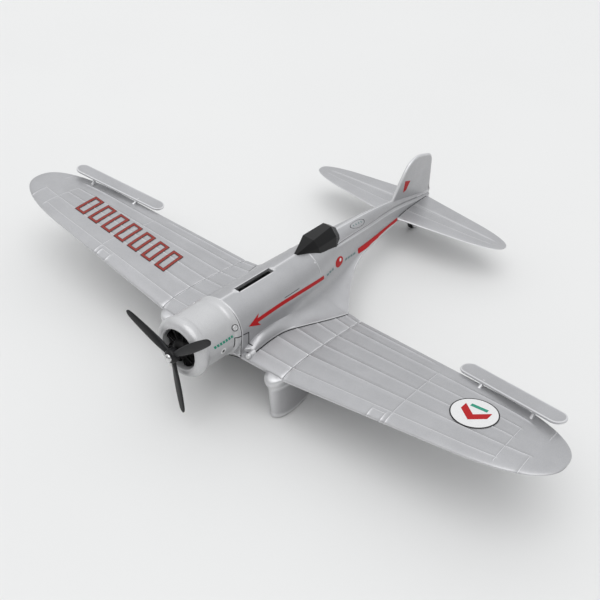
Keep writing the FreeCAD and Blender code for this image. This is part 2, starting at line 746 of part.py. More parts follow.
def canopy():
    return loft([
        canopy_section(100.6, 2.2, 15.0, 1.9, 17.9, 1.2, 18.4),
        canopy_section(108.0, 6.8, 13.0, 5.0, 22.2, 2.6, 24.2),
        canopy_section(115.0, 8.5, 12.0, 6.8, 22.4, 3.4, 26.1),
        canopy_section(130.5, 8.2, 11.0, 6.6, 22.4, 3.2, 25.4),
        canopy_section(136.5, 7.2, 10.5, 5.6, 20.4, 2.8, 22.6),
    ]).cut([hull, mirrored(hull)])


keep_shape("canopy", main_solid(canopy()))


# ---------------------------------------------------------------------------------------------
# Propeller
# ---------------------------------------------------------------------------------------------
# Blade stations: share of the radius, width, thickness and pitch in degrees.
BLADE = [(0.06, 3.6, 2.8, 30.0), (0.16, 4.0, 2.3, 24.0), (0.30, 5.2, 1.9, 16.0),
         (0.48, 6.1, 1.6, 10.0), (0.66, 6.0, 1.35, 7.0), (0.82, 4.9, 1.15, 6.0),
         (0.92, 3.6, 1.0, 5.0), (0.975, 2.2, 0.8, 5.0), (1.0, 1.0, 0.6, 5.0)]


def blade_wire(share, width, thick, pitch):
    radius = share * size("prop_radius")
    angle = math.radians(pitch)
    spots = []
    for i in range(12):
        turn = 2.0 * math.pi * i / 12
        across = width / 2.0 * math.cos(turn)
        depth = thick / 2.0 * math.sin(turn)
        spots.append(Vector(radius, depth * math.cos(angle) - across * math.sin(angle),
                            across * math.cos(angle) + depth * math.sin(angle)))
    curve = Part.BSplineCurve()
    curve.interpolate(spots, PeriodicFlag=True)
    return Part.Wire([curve.toShape()])


def propeller():
    blade = loft([blade_wire(*row) for row in BLADE])
    hub = rod(size("hub_radius"), Vector(0, size("hub_front"), 0), Vector(0, size("hub_back"), 0))
    count = int(size("blade_count"))
    for index in range(count):
        turn = -size("prop_start_deg") - index * 360.0 / count
        copy = blade.copy()
        copy.rotate(Vector(0, 0, 0), Vector(0, 1, 0), turn)
        hub = hub.fuse(copy)
    return hub.cut(rod(size("pin_bore"), Vector(0, -10, 0), Vector(0, 10, 0)))


keep_shape("propeller", main_solid(propeller()))

# The propeller's pin: domed head, plain shank pressed into the engine's crankcase.
body = new_body("propeller_pin")
head_back = "Dims.hub_front - 0.15"
pin_tip = "Dims.hub_front - 0.15 + Dims.pin_length"
turned = outline_sketch(body, "pin_profile", "XY", [
    ("0", "Dims.hub_front - 0.15 - Dims.pin_head_length"),
    ("Dims.pin_head * 0.6", "Dims.hub_front - 0.15 - Dims.pin_head_length"),
    ("Dims.pin_head", "Dims.hub_front - 0.15 - Dims.pin_head_length * 0.55"),
    ("Dims.pin_head", head_back),
    ("Dims.pin_radius", head_back),
    ("Dims.pin_radius", pin_tip),
    ("0", pin_tip)])
revolve(body, turned)

# ---------------------------------------------------------------------------------------------
# Cowling and engine
# ---------------------------------------------------------------------------------------------
body = new_body("cowling")
ring = outline_sketch(body, "cowl_profile", "XY", [
    ("Dims.cowl_mouth", "Dims.cowl_front"),
    ("Dims.cowl_brow", "Dims.cowl_front"),
    ("Dims.cowl_radius", "Dims.cowl_shoulder_y"),
    ("Dims.cowl_radius", "Dims.cowl_shoulder_y + 10"),
    ("Dims.cowl_tail_radius", "Dims.cowl_rear"),
    ("Dims.cowl_bore", "Dims.cowl_rear"),
    ("Dims.cowl_bore", "Dims.cowl_shoulder_y"),
    ("Dims.cowl_brow", "Dims.cowl_lip_depth"),
    ("Dims.cowl_mouth", "Dims.cowl_lip_depth")])
base = revolve(body, ring)
front = size("cowl_front")
nose = fillet_edges(body, base, "Dims.cowl_shoulder_round",
                    lambda edge: ring_edge(edge, size("cowl_radius"), size("cowl_shoulder_y")))
nose = fillet_edges(body, nose, "Dims.cowl_brow_round",
                    lambda edge: ring_edge(edge, size("cowl_brow"), front))
fillet_edges(body, nose, "Dims.cowl_lip_round",
             lambda edge: ring_edge(edge, size("cowl_mouth"), front))
body.Placement = Placement(Vector(0, 0, size("cowl_up")), Rotation())

body = new_body("engine_face")
plate = outline_sketch(body, "engine_profile", "XY", [
    ("0", "Dims.case_front"),
    ("Dims.case_radius * 0.6", "Dims.case_front"),
    ("Dims.case_radius", "Dims.case_front + 2.6"),
    ("Dims.case_radius + 0.8", "Dims.engine_back - Dims.engine_plate"),
    ("Dims.engine_radius", "Dims.engine_back - Dims.engine_plate"),
    ("Dims.engine_radius", "Dims.engine_back"),
    ("0", "Dims.engine_back")])
revolve(body, plate)
cylinder = circle_sketch(body, "engine_cylinder", "XY",
                         [("0", "Dims.barrel_y", "Dims.barrel_radius")], "Dims.barrel_inner")
tube = pad(body, cylinder, "Dims.barrel_reach")
pattern = body.newObject("PartDesign::PolarPattern", "engine_cylinders")
pattern.Originals = [tube]
pattern.Axis = (plate, ["V_Axis"])
pattern.Angle = 360.0
pattern.setExpression("Occurrences", "Dims.barrel_count")
body.Tip = pattern
doc.recompute()
shaft_hole = circle_sketch(body, "engine_shaft_hole", "XZ", [("0", "-Dims.cowl_up", "Dims.pin_radius")],
                           "-Dims.engine_back - 1")
pocket(body, shaft_hole, "2 * Dims.engine_back", backwards=True)
body.Placement = Placement(Vector(0, 0, size("cowl_up")), Rotation())


# ---------------------------------------------------------------------------------------------
# Wheels and their pins
# ---------------------------------------------------------------------------------------------
def wheel(name, x, y, radius, half_width, bore):
    """A black moulded wheel with a rounded tread and a recessed hub, turned about its own X axis."""
    piece = new_body(name)
    profile = outline_sketch(piece, name + "_profile", "XY", [
        ("-" + half_width, bore),
        (half_width, bore),
        (half_width, radius + " * 0.42"),
        (half_width + " * 0.72", radius + " * 0.48"),
        (half_width + " * 0.72", radius + " * 0.62"),
        (half_width, radius + " * 0.70"),
        (half_width, radius + " * 0.88"),
        (half_width + " * 0.55", radius),
        ("-" + half_width + " * 0.55", radius),
        ("-" + half_width, radius + " * 0.88"),
        ("-" + half_width, radius + " * 0.70"),
        ("-" + half_width + " * 0.72", radius + " * 0.62"),
        ("-" + half_width + " * 0.72", radius + " * 0.48"),
        ("-" + half_width, radius + " * 0.42")])
    revolve(piece, profile, "H_Axis")
    reach = expression_value(radius)
    piece.Placement = Placement(Vector(x, y, axle_height(y, reach)), Rotation())
    return piece


def cross_pin(name, x, y, wheel_radius, radius, half_length):
    piece = new_body(name)
    circle = circle_sketch(piece, name + "_circle", "YZ", [("0", "0", radius)])
    pad(piece, circle, "2 * " + half_length, middle=True)
    piece.Placement = Placement(Vector(x, y, axle_height(y, size(wheel_radius))), Rotation())
    return piece


for side, word in ((1, "left"), (-1, "right")):
    wheel("main_wheel_" + word, side * size("gear_x"), size("wheel_y"), "Dims.wheel_radius",
          "Dims.wheel_half_width", "Dims.axle_bore")
    cross_pin("main_axle_" + word, side * size("gear_x"), size("wheel_y"), "wheel_radius",
              "Dims.axle_radius", "(Dims.gear_half_width - 0.5)")
wheel("tail_wheel", 0, size("tail_wheel_y"), "Dims.tail_wheel_radius",
      "Dims.tail_wheel_half_width", "Dims.tail_axle_bore")
cross_pin("tail_wheel_axle", 0, size("tail_wheel_y"), "tail_wheel_radius",
          "Dims.tail_axle_radius", "(Dims.fork_half_width - 0.1)")

# ---------------------------------------------------------------------------------------------
# Coin trap with its turning lock
# ---------------------------------------------------------------------------------------------
body = new_body("coin_trap")
shoulder = "Dims.boss_bottom + Dims.flange_depth"
floor = shoulder + " + Dims.plug_wall"
cup = outline_sketch(body, "trap_profile", "XZ", [
    ("0", "Dims.boss_bottom"),
    ("Dims.flange_radius", "Dims.boss_bottom"),
    ("Dims.flange_radius", shoulder),
    ("Dims.plug_radius", shoulder),
    ("Dims.plug_radius", "Dims.plug_top"),
    ("Dims.plug_radius - Dims.plug_wall", "Dims.plug_top"),
    ("Dims.plug_radius - Dims.plug_wall", floor),
    ("0", floor)])
revolve(body, cup)
post = circle_sketch(body, "lock_post", "XY", [("0", "-Dims.lock_offset", "Dims.lock_radius + 1.4")],
                     shoulder)
pad(body, post, "Dims.plug_top - Dims.boss_bottom - Dims.flange_depth")
lock_hole = circle_sketch(body, "lock_hole", "XY", [("0", "-Dims.lock_offset", "Dims.lock_bore")],
                          "Dims.boss_bottom - 1")
pocket(body, lock_hole, "20", backwards=True)
body.Placement = Placement(Vector(0, size("trap_y"), 0), Rotation())

body = new_body("lock_barrel")
core = circle_sketch(body, "lock_core", "XY", [("0", "-Dims.lock_offset", "Dims.lock_radius")],
                     "Dims.boss_bottom")
pad(body, core, "Dims.cam_bottom - Dims.boss_bottom")
keyway = outline_sketch(body, "lock_keyway", "XY", [
    ("-Dims.keyway_width / 2", "-Dims.lock_offset - Dims.keyway_length / 2"),
    ("Dims.keyway_width / 2", "-Dims.lock_offset - Dims.keyway_length / 2"),
    ("Dims.keyway_width / 2", "-Dims.lock_offset + Dims.keyway_length / 2"),
    ("-Dims.keyway_width / 2", "-Dims.lock_offset + Dims.keyway_length / 2")], "Dims.boss_bottom")
pocket(body, keyway, "Dims.keyway_depth", backwards=True)
body.Placement = Placement(Vector(0, size("trap_y"), 0), Rotation())

body = new_body("lock_cam")
tongue_plan = outline_sketch(body, "cam_plan", "XY", [
    ("-Dims.cam_width / 2", "-Dims.lock_offset - Dims.cam_width / 2"),
    ("Dims.cam_length", "-Dims.lock_offset - Dims.cam_width / 2"),
    ("Dims.cam_length", "-Dims.lock_offset + Dims.cam_width / 2"),
    ("-Dims.cam_width / 2", "-Dims.lock_offset + Dims.cam_width / 2")], "Dims.cam_bottom")
pad(body, tongue_plan, "Dims.cam_thick")
body.Placement = Placement(Vector(0, size("trap_y"), 0), Rotation())


# ---------------------------------------------------------------------------------------------
# Screws: groups of alike fasteners
# ---------------------------------------------------------------------------------------------
def screw(seat, along, length):
    """A pan-head screw: its head's underside is at seat and its shank runs along."""
    along = along.normalize()
    head = rod(size("screw_head"), seat, seat - along * size("screw_head_depth"))
    shank = rod(size("screw_radius"), seat - along * 0.2, seat + along * length)
    whole = head.fuse(shank)
    for turn in (0.0, 90.0):
        cut = box(-1.5, 1.5, -size("drive_width") / 2, size("drive_width") / 2, -1, size("drive_depth"))
        cut.Placement = Placement(seat - along * size("screw_head_depth"),
                                  Rotation(Vector(0, 0, 1), along)).multiply(
                                      Placement(Vector(0, 0, 0), Rotation(Vector(0, 0, 1), turn)))
        whole = whole.cut(cut)
    return whole


clamps = [screw(Vector(-station(y, 1) + 2.4, y, z), Vector(1, 0, 0), station(y, 1) + 3.2)
          for y, z in CLAMP_SPOTS]
keep_shape("body_screws", Part.makeCompound(clamps))
lifts = [screw(spot + Vector(0, 0, screw_seat()), Vector(0, 0, 1), 8.6)
         for spot in wing_screw_spots()]
keep_shape("wing_screws", Part.makeCompound(lifts))
GEAR_SCREW_SEAT = size("trouser_top") - 6.0
legs = [screw(Vector(side * size("gear_x"), GEAR_SCREW_Y, GEAR_SCREW_SEAT), Vector(0, 0, 1),
              GEAR_SCREW_TOP - GEAR_SCREW_SEAT) for side in (1, -1)]
keep_shape("gear_screws", Part.makeCompound(legs))

# ---------------------------------------------------------------------------------------------
# Check, stand the model on its wheels, and write it
# ---------------------------------------------------------------------------------------------
doc.recompute()
for item in doc.Objects:
    if "Invalid" in item.State or "Error" in item.State:
        raise RuntimeError("%s is %s" % (item.Name, item.State))
for name, piece in finished.items():
    if piece.Shape.isNull() or not piece.Shape.isValid():
        raise RuntimeError(name + " has no valid shape")

tilt = Placement(Vector(0, 0, size("hub_height")), Rotation(Vector(1, 0, 0), -size("stance_deg")))
for piece in finished.values():
    piece.Placement = tilt.multiply(piece.Placement)
doc.recompute()
whole = Part.makeCompound([piece.Shape for piece in finished.values()]).optimalBoundingBox()
centring = Placement(Vector(0, -(whole.YMin + whole.YMax) / 2.0, -whole.ZMin), Rotation())
for piece in finished.values():
    piece.Placement = centring.multiply(piece.Placement)
doc.recompute()
print("moved to the middle by", centring.Base, "whole", whole)

for name, piece in finished.items():
    shape = piece.Shape
    print(name, len(shape.Solids), round(shape.Volume, 1))
    shape.exportStep("parts/%s.step" % name)
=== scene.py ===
"""Looks of the silver die-cast propeller plane: smooth skins, raised panel lines, paint and markings.

Shapes are worked out in millimetres in the aircraft's own frame (origin at the propeller hub, Y aft
along the thrust line, X to the port tip, Z up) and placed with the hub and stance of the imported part.
"""
import bpy
import bmesh
import json
from math import ceil, copysign, cos, pi, radians, sin, sqrt, tan
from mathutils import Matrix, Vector


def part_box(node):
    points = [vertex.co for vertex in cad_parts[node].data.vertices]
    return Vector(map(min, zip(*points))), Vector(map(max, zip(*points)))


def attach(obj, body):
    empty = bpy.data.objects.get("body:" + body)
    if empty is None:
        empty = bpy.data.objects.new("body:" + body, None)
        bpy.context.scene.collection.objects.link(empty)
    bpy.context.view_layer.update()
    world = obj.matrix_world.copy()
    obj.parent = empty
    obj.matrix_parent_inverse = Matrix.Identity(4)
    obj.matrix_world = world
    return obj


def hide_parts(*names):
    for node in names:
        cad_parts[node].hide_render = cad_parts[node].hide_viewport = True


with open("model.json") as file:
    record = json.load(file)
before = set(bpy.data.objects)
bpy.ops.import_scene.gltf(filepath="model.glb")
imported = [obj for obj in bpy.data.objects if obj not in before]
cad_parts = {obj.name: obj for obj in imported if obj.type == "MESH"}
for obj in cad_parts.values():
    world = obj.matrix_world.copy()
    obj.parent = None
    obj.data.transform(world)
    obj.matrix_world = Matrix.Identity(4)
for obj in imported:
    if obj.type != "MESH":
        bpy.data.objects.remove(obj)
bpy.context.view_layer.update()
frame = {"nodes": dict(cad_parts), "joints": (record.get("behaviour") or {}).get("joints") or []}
MM = 0.001
JOINTS = {joint["name"]: joint for joint in frame["joints"]}
SPIN = JOINTS["propeller_spin"]
HUB = Vector(SPIN["pos_m"])
COS = SPIN["axis"][1]
SIN = -SPIN["axis"][2]


def place(x, y, z):
    """A point of the aircraft's frame, in millimetres, as a point of the scene."""
    return HUB + Vector((x, y * COS + z * SIN, -y * SIN + z * COS)) * MM


# ---- materials
def node_tree(name):
    material = bpy.data.materials.new(name)
    material.use_nodes = True
    tree = material.node_tree
    return material, tree, tree.nodes["Principled BSDF"]


def add(tree, kind, settings=(), inputs=()):
    node = tree.nodes.new(kind)
    for key, value in dict(settings).items():
        setattr(node, key, value)
    for key, value in dict(inputs).items():
        node.inputs[key].default_value = value
    return node


def noise(tree, scale, detail=3.0, rough=0.55, stretch=(1, 1, 1)):
    """Noise in the object's own coordinates; scale is cycles per metre."""
    where = add(tree, "ShaderNodeTexCoord")
    spread = add(tree, "ShaderNodeMapping", {}, {"Scale": stretch})
    texture = add(tree, "ShaderNodeTexNoise", {}, {"Scale": scale, "Detail": detail,
                                                   "Roughness": rough})
    tree.links.new(where.outputs["Object"], spread.inputs["Vector"])
    tree.links.new(spread.outputs["Vector"], texture.inputs["Vector"])
    return texture.outputs["Fac"]


def ramp(tree, source, stops):
    node = add(tree, "ShaderNodeValToRGB")
    while len(node.color_ramp.elements) < len(stops):
        node.color_ramp.elements.new(0.5)
    for element, (at, colour) in zip(node.color_ramp.elements, stops):
        element.position = at
        element.color = (*colour, 1.0) if len(colour) == 3 else colour
    tree.links.new(source, node.inputs["Fac"])
    return node.outputs["Color"]


def span(tree, source, low, high, source_low=0.0, source_high=1.0):
    node = add(tree, "ShaderNodeMapRange", {}, {"From Min": source_low, "From Max": source_high,
                                                "To Min": low, "To Max": high})
    tree.links.new(source, node.inputs["Value"])
    return node.outputs["Result"]


def mix(tree, factor, first, second, how="MIX"):
    node = add(tree, "ShaderNodeMix", {"data_type": "RGBA", "blend_type": how})
    for socket, value in ((node.inputs["Factor"], factor), (node.inputs["A"], first),
                          (node.inputs["B"], second)):
        if isinstance(value, (int, float)):
            socket.default_value = value
        elif isinstance(value, tuple):
            socket.default_value = (*value, 1.0)
        else:
            tree.links.new(value, socket)
    return node.outputs["Result"]


def bump(tree, shader, height, strength, distance):
    node = add(tree, "ShaderNodeBump", {}, {"Strength": strength, "Distance": distance})
    tree.links.new(height, node.inputs["Height"])
    tree.links.new(node.outputs["Normal"], shader.inputs["Normal"])


def edge_mask(tree, low, high):
    """1 on sharp outer edges, 0 elsewhere."""
    geometry = add(tree, "ShaderNodeNewGeometry")
    return span(tree, geometry.outputs["Pointiness"], 0.0, 1.0, low, high)


# Pointiness at which the brightened edge starts and is full: on the silver paint, rubbed paint and a
# painted highlight; on plastic, a greyed edge.
PAINT_EDGE = (0.512, 0.534)
PLASTIC_EDGE = (0.54, 0.66)
# Specular level of plastics and inks.
SHEEN = 0.24
INK_ROUGH = 0.45


def paint(name, base, metallic, rough, edge_brightening):
    """Sprayed metallic paint: fine flake, soft mottling, a satin coat, and edges painted brighter, as
    rubbed paint and as a painted highlight.
    """
    material, tree, shader = node_tree(name)
    flake = noise(tree, 5200.0, 2.0, 0.6)
    cloud = noise(tree, 55.0, 4.0, 0.55)
    grime = noise(tree, 260.0, 5.0, 0.6)
    dark = tuple(c * 0.955 for c in base)
    light = tuple(min(c * 1.035, 1.0) for c in base)
    body = ramp(tree, cloud, [(0.35, dark), (0.68, light)])
    speck = ramp(tree, flake, [(0.38, (0.84, 0.84, 0.85)), (0.62, (1.0, 1.0, 1.0))])
    toned = mix(tree, 1.0, body, speck, "MULTIPLY")
    # Painted highlight and rubbed paint: sharp edges and raised panel lines are painted paler.
    rubbed_and_highlit = mix(tree, edge_brightening, toned, (0.90, 0.90, 0.91))
    edge_share = edge_mask(tree, *PAINT_EDGE)
    tree.links.new(mix(tree, edge_share, toned, rubbed_and_highlit), shader.inputs["Base Color"])
    shader.inputs["Metallic"].default_value = metallic
    tree.links.new(span(tree, grime, rough - 0.05, rough + 0.07, 0.3, 0.7), shader.inputs["Roughness"])
    shader.inputs["Coat Weight"].default_value = 0.12
    shader.inputs["Coat Roughness"].default_value = 0.22
    peel = mix(tree, 0.1, noise(tree, 900.0, 2.0), flake)
    bump(tree, shader, peel, 0.10, 0.00002)
    return material


def plastic(name, base, rough, grain=2600.0, edge_brightening=(0.05, 0.05, 0.052)):
    """Moulded plastic: fine grain, faint flow marks and slightly greyed edges."""
    material, tree, shader = node_tree(name)
    fine = noise(tree, grain, 3.0, 0.6)
    flow = noise(tree, 120.0, 3.0, 0.5, (1.0, 0.25, 1.0))
    light = tuple(c * 1.5 for c in base)
    body = ramp(tree, flow, [(0.3, base), (0.75, light)])
    edge_share = edge_mask(tree, *PLASTIC_EDGE)
    tree.links.new(mix(tree, edge_share, body, edge_brightening), shader.inputs["Base Color"])
    shader.inputs["Specular IOR Level"].default_value = SHEEN
    tree.links.new(span(tree, fine, rough - 0.06, rough + 0.08), shader.inputs["Roughness"])
    bump(tree, shader, fine, 0.25, 0.00005)
    return material


def bare_metal(name, base, rough):
    """Uncoated metal with a fine grain and dulled patches."""
    material, tree, shader = node_tree(name)
    lines = noise(tree, 1800.0, 3.0, 0.6)
    patch = noise(tree, 420.0, 4.0, 0.6)
    dull = tuple(c * 0.72 for c in base)
    tree.links.new(ramp(tree, patch, [(0.35, dull), (0.65, base)]), shader.inputs["Base Color"])
    shader.inputs["Metallic"].default_value = 1.0
    tree.links.new(span(tree, lines, rough - 0.08, rough + 0.12), shader.inputs["Roughness"])
    bump(tree, shader, lines, 0.2, 0.00004)
    return material


def ink(name, base):
    """Flat colour with a faint print texture: pad-printed ink, also used as painted shade along joints."""
    material, tree, shader = node_tree(name)
    grain = noise(tree, 3500.0, 2.0, 0.6)
    dark = tuple(c * 0.86 for c in base)
    tree.links.new(ramp(tree, grain, [(0.35, dark), (0.6, base)]), shader.inputs["Base Color"])
    shader.inputs["Specular IOR Level"].default_value = SHEEN
    tree.links.new(span(tree, grain, INK_ROUGH - 0.05, INK_ROUGH + 0.08), shader.inputs["Roughness"])
    bump(tree, shader, grain, 0.08, 0.00003)
    return material


SILVER = paint("silver_paint", (0.50, 0.50, 0.51), 0.72, 0.40, 0.55)
COWL_SILVER = paint("cowl_silver", (0.63, 0.63, 0.635), 0.38, 0.33, 0.4)
BLACK = plastic("black_plastic", (0.010, 0.010, 0.011), 0.36)
GLOSS_BLACK = plastic("canopy_plastic", (0.004, 0.004, 0.0045), 0.30, 1400.0, (0.02, 0.02, 0.02))
ENGINE_BLACK = plastic("engine_plastic", (0.002, 0.002, 0.0022), 0.5, edge_brightening=(0.012, 0.012, 0.012))
RUBBER = plastic("wheel_plastic", (0.012, 0.012, 0.012), 0.55)
TRAP_BLACK = plastic("trap_plastic", (0.016, 0.016, 0.017), 0.48)
PIN = bare_metal("bright_pin", (0.80, 0.80, 0.80), 0.22)
LOCK = bare_metal("lock_metal", (0.68, 0.66, 0.60), 0.32)
STEEL = bare_metal("screw_steel", (0.56, 0.56, 0.57), 0.36)
RED = ink("red_ink", (0.46, 0.004, 0.007))
BROWN_RED = ink("dull_red_ink", (0.30, 0.040, 0.030))
WHITE = ink("white_ink", (0.80, 0.80, 0.80))
# Dark ink for printed lines and rims, and painted shade in the gaps of joints.
DARK = ink("dark_ink_and_painted_shade", (0.016, 0.016, 0.018))
GREEN = ink("green_ink", (0.03, 0.30, 0.20))
GREY = ink("grey_ink", (0.20, 0.28, 0.28))

FINISH = {"silver_paint": SILVER, "engine_black": ENGINE_BLACK, "canopy_black": GLOSS_BLACK,
          "propeller_black": BLACK, "wheel_black": RUBBER, "trap_black": TRAP_BLACK,
          "bright_pin": PIN, "lock_metal": LOCK, "screw_steel": STEEL}


# ---- mesh helpers
def show(name, mesh_data):
    """Links a bmesh to the scene as an object; the bmesh is used up."""
    mesh = bpy.data.meshes.new(name)
    mesh_data.to_mesh(mesh)
    mesh_data.free()
    shown = bpy.data.objects.new(name, mesh)
    bpy.context.scene.collection.objects.link(shown)
    return shown


def finish_piece(name, mesh_data, nodes=(), slot_name="silver_paint", body="airframe", material=None,
                 crease=34.0):
    """Turns a bmesh into a shown piece: smooth faces, sharp edges kept, riding on its body."""
    bmesh.ops.remove_doubles(mesh_data, verts=mesh_data.verts, dist=0.000002)
    bmesh.ops.recalc_face_normals(mesh_data, faces=mesh_data.faces)
    limit = radians(crease)
    for face in mesh_data.faces:
        face.smooth = True
    for edge in mesh_data.edges:
        if len(edge.link_faces) == 2:
            edge.smooth = edge.calc_face_angle(0.0) < limit
    piece = show(name, mesh_data)
    piece.data.materials.append(material or FINISH[slot_name])
    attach(piece, body)
    if nodes:
        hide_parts(*nodes)


def both_sides(*builders):
    """Runs each builder for the port side (left) and then each for the starboard side (right)."""
    for side, word in ((1, "left"), (-1, "right")):
        for build in builders:
            build(side, word)


def skin(mesh_data, made):
    """Faces between neighbouring closed rings of vertices."""
    count = len(made[0])
    for first, second in zip(made, made[1:]):
        for index in range(count):
            following = (index + 1) % count
            mesh_data.faces.new((first[index], first[following], second[following], second[index]))


def rings(mesh_data, rows):
    """Skins closed rings of points in the aircraft's frame and caps both ends."""
    made = [[mesh_data.verts.new(place(*point)) for point in row] for row in rows]
    skin(mesh_data, made)
    mesh_data.faces.new(made[0])
    mesh_data.faces.new(made[-1][::-1])


def hoops(mesh_data, rows):
    """Skins rings of scene points that lead back to the first ring, as on a tyre."""
    made = [[mesh_data.verts.new(point) for point in row] for row in rows]
    skin(mesh_data, made + made[:1])


def cut_with(target, tool, how="DIFFERENCE"):
    """Boolean of two bmeshes; both are used up and the result comes back as a bmesh."""
    objects = []
    for source in (target, tool):
        bmesh.ops.remove_doubles(source, verts=source.verts, dist=0.000001)
        bmesh.ops.recalc_face_normals(source, faces=source.faces)
        objects.append(show("working", source))
    modifier = objects[0].modifiers.new("cut", "BOOLEAN")
    modifier.operation = how
    modifier.solver = "EXACT"
    modifier.object = objects[1]
    graph = bpy.context.evaluated_depsgraph_get()
    mesh = bpy.data.meshes.new_from_object(objects[0].evaluated_get(graph))
    result = bmesh.new()
    result.from_mesh(mesh)
    for piece in objects:
        bpy.data.objects.remove(piece)
    return result


def turns(count):
    """Angles of a full turn, in even steps."""
    return [2.0 * pi * index / count for index in range(count)]


def quarter(count):
    """Angles of a quarter turn, both ends included."""
    return [pi / 2 * index / count for index in range(count + 1)]


def lathe(mesh_data, profile, centre, axis, count):
    """Turns (along, radius) points about the y or z axis through centre."""
    cx, cy, cz = centre
    rows = []
    for along, radius in profile:
        row = []
        for angle in turns(count):
            c, s = radius * cos(angle), radius * sin(angle)
            row.append((cx + s, cy + along, cz + c) if axis == "y" else (cx + s, cy + c, cz + along))
        rows.append(row)
    rings(mesh_data, rows)


def round_corners(points, radius):
    """Rounds the corners of an open 2-D profile with short curves."""
    steps = 5
    out = [points[0]]
    for before, corner, after in zip(points, points[1:], points[2:]):
        a = Vector(before) - Vector(corner)
        b = Vector(after) - Vector(corner)
        reach = min(radius, a.length * 0.48, b.length * 0.48)
        start = Vector(corner) + a.normalized() * reach
        end = Vector(corner) + b.normalized() * reach
        for index in range(steps + 1):
            share = index / steps
            first = start.lerp(Vector(corner), share)
            out.append(tuple(first.lerp(Vector(corner).lerp(end, share), share)))
    return out + [points[-1]]


def block(x0, x1, y0, y1, z0, z1):
    made = bmesh.new()
    rings(made, [[(x0, y0, z), (x1, y0, z), (x1, y1, z), (x0, y1, z)] for z in (z0, z1)])
    return made


AFT = Vector((0, 1, 0))


def circle(centre, across, up, radius, count):
    """Points round a centre, in the plane of two unit directions."""
    return [tuple(centre + (across * cos(t) + up * sin(t)) * radius) for t in turns(count)]


def rod_rings(start, end, radii, count):
    """Rings of a rod between two points, from (share of the way, radius) pairs."""
    a, b = Vector(start), Vector(end)
    along = (b - a).normalized()
    across = along.orthogonal().normalized()
    up = along.cross(across)
    return [circle(a.lerp(b, share), across, up, radius, count) for share, radius in radii]


def tube(start, end, radius, count=28):
    """A plain rod between two points, used for cutting."""
    made = bmesh.new()
    rings(made, rod_rings(start, end, ((0.0, radius), (1.0, radius)), count))
    return made


# ---- shape formulas
def slope_at(points, index):
    before = points[max(index - 1, 0)]
    after = points[min(index + 1, len(points) - 1)]
    return (after[1] - before[1]) / (after[0] - before[0])


def blend(points, at):
    """Value at a place, on the smooth curve through (place, value) pairs."""
    if at <= points[0][0]:
        return points[0][1]
    for index in range(len(points) - 1):
        (x0, v0), (x1, v1) = points[index], points[index + 1]
        if at <= x1:
            run = x1 - x0
            share = (at - x0) / run
            smooth = share * share * (3.0 - 2.0 * share)
            lead = run * slope_at(points, index) * share * (1.0 - share) ** 2
            trail = run * slope_at(points, index + 1) * share * share * (1.0 - share)
            return v0 + (v1 - v0) * smooth + lead - trail
    return points[-1][1]


def lookup(table, at, column):
    """Blend of one column of a table whose first column is the place."""
    return blend([(row[0], row[column]) for row in table], at)


def ease(value, low, high):
    """0 below low, 1 above high, smooth between."""
    share = min(max((value - low) / (high - low), 0.0), 1.0)
    return share * share * (3.0 - 2.0 * share)


def foil(share):
    """Half thickness of a wing section at a share of its chord, for a full thickness of one."""
    share = min(max(share, 0.0), 1.0)
    root = 0.2969 * sqrt(share)
    rest = -0.126 * share - 0.3516 * share ** 2 + 0.2843 * share ** 3 - 0.1036 * share ** 4
    return 5.0 * (root + rest)


def tip_round(x, start, end, power):
    """How far a tip's edge has been drawn in: 0 at start, 1 at end."""
    if x <= start:
        return 0.0
    share = min((x - start) / (end - start), 1.0)
    return 1.0 - (1.0 - share ** power) ** (1.0 / power)


HALF_SPAN = 195.0
JOINT_X = 46.0
TIP_START = 145.0
TIP_MID_Y = 65.0
WING_Z = -12.7
WING_THICK = 0.115
RISE = tan(radians(7.7))
BLUNT = 0.35


def wing_edges(x):
    leading = 36.7 + 0.042 * (x - JOINT_X)
    trailing = 110.0 - 0.152 * (x - JOINT_X)
    pull = tip_round(x, TIP_START, HALF_SPAN, 2.45)
    return leading + (TIP_MID_Y - leading) * pull, trailing + (TIP_MID_Y - trailing) * pull


def wing_height(x):
    return WING_Z + RISE * max(x - JOINT_X, 0.0)


def wing_half(x, share):
    """Half thickness of the wing at a share of its chord."""
    leading, trailing = wing_edges(x)
    ratio = WING_THICK - 0.02 * max((x - JOINT_X) / (HALF_SPAN - JOINT_X), 0.0)
    return foil(share) * ratio * (trailing - leading) + BLUNT * share


# Raised panel lines. Along the span: share of the chord, from x, to x.
SPAN_LINES = [(0.115, 20.0, 166.4), (0.31, 20.0, 179.0), (0.49, 20.0, 166.4), (0.67, 20.0, 166.4),
              (0.84, 20.0, 168.5), (0.95, 20.0, 104.0)]
# Along the chord: x, from share, to share.
CHORD_LINES = [(110.2, 0.0, 0.84), (166.4, 0.05, 0.68), (179.0, 0.0, 0.31), (181.0, 0.74, 0.97)]
# Small panel at the nose: from x, to x, back to a share of the chord.
HATCH = (99.6, 107.4, 0.075)
LINE_HALF = 0.45
LINE_HIGH = 0.20
LINE_STEPS = (-LINE_HALF, -0.26, -0.09, 0.09, 0.26, LINE_HALF)


def ridge_profile(distance):
    return LINE_HIGH * (1.0 - ease(distance, 0.09, LINE_HALF))


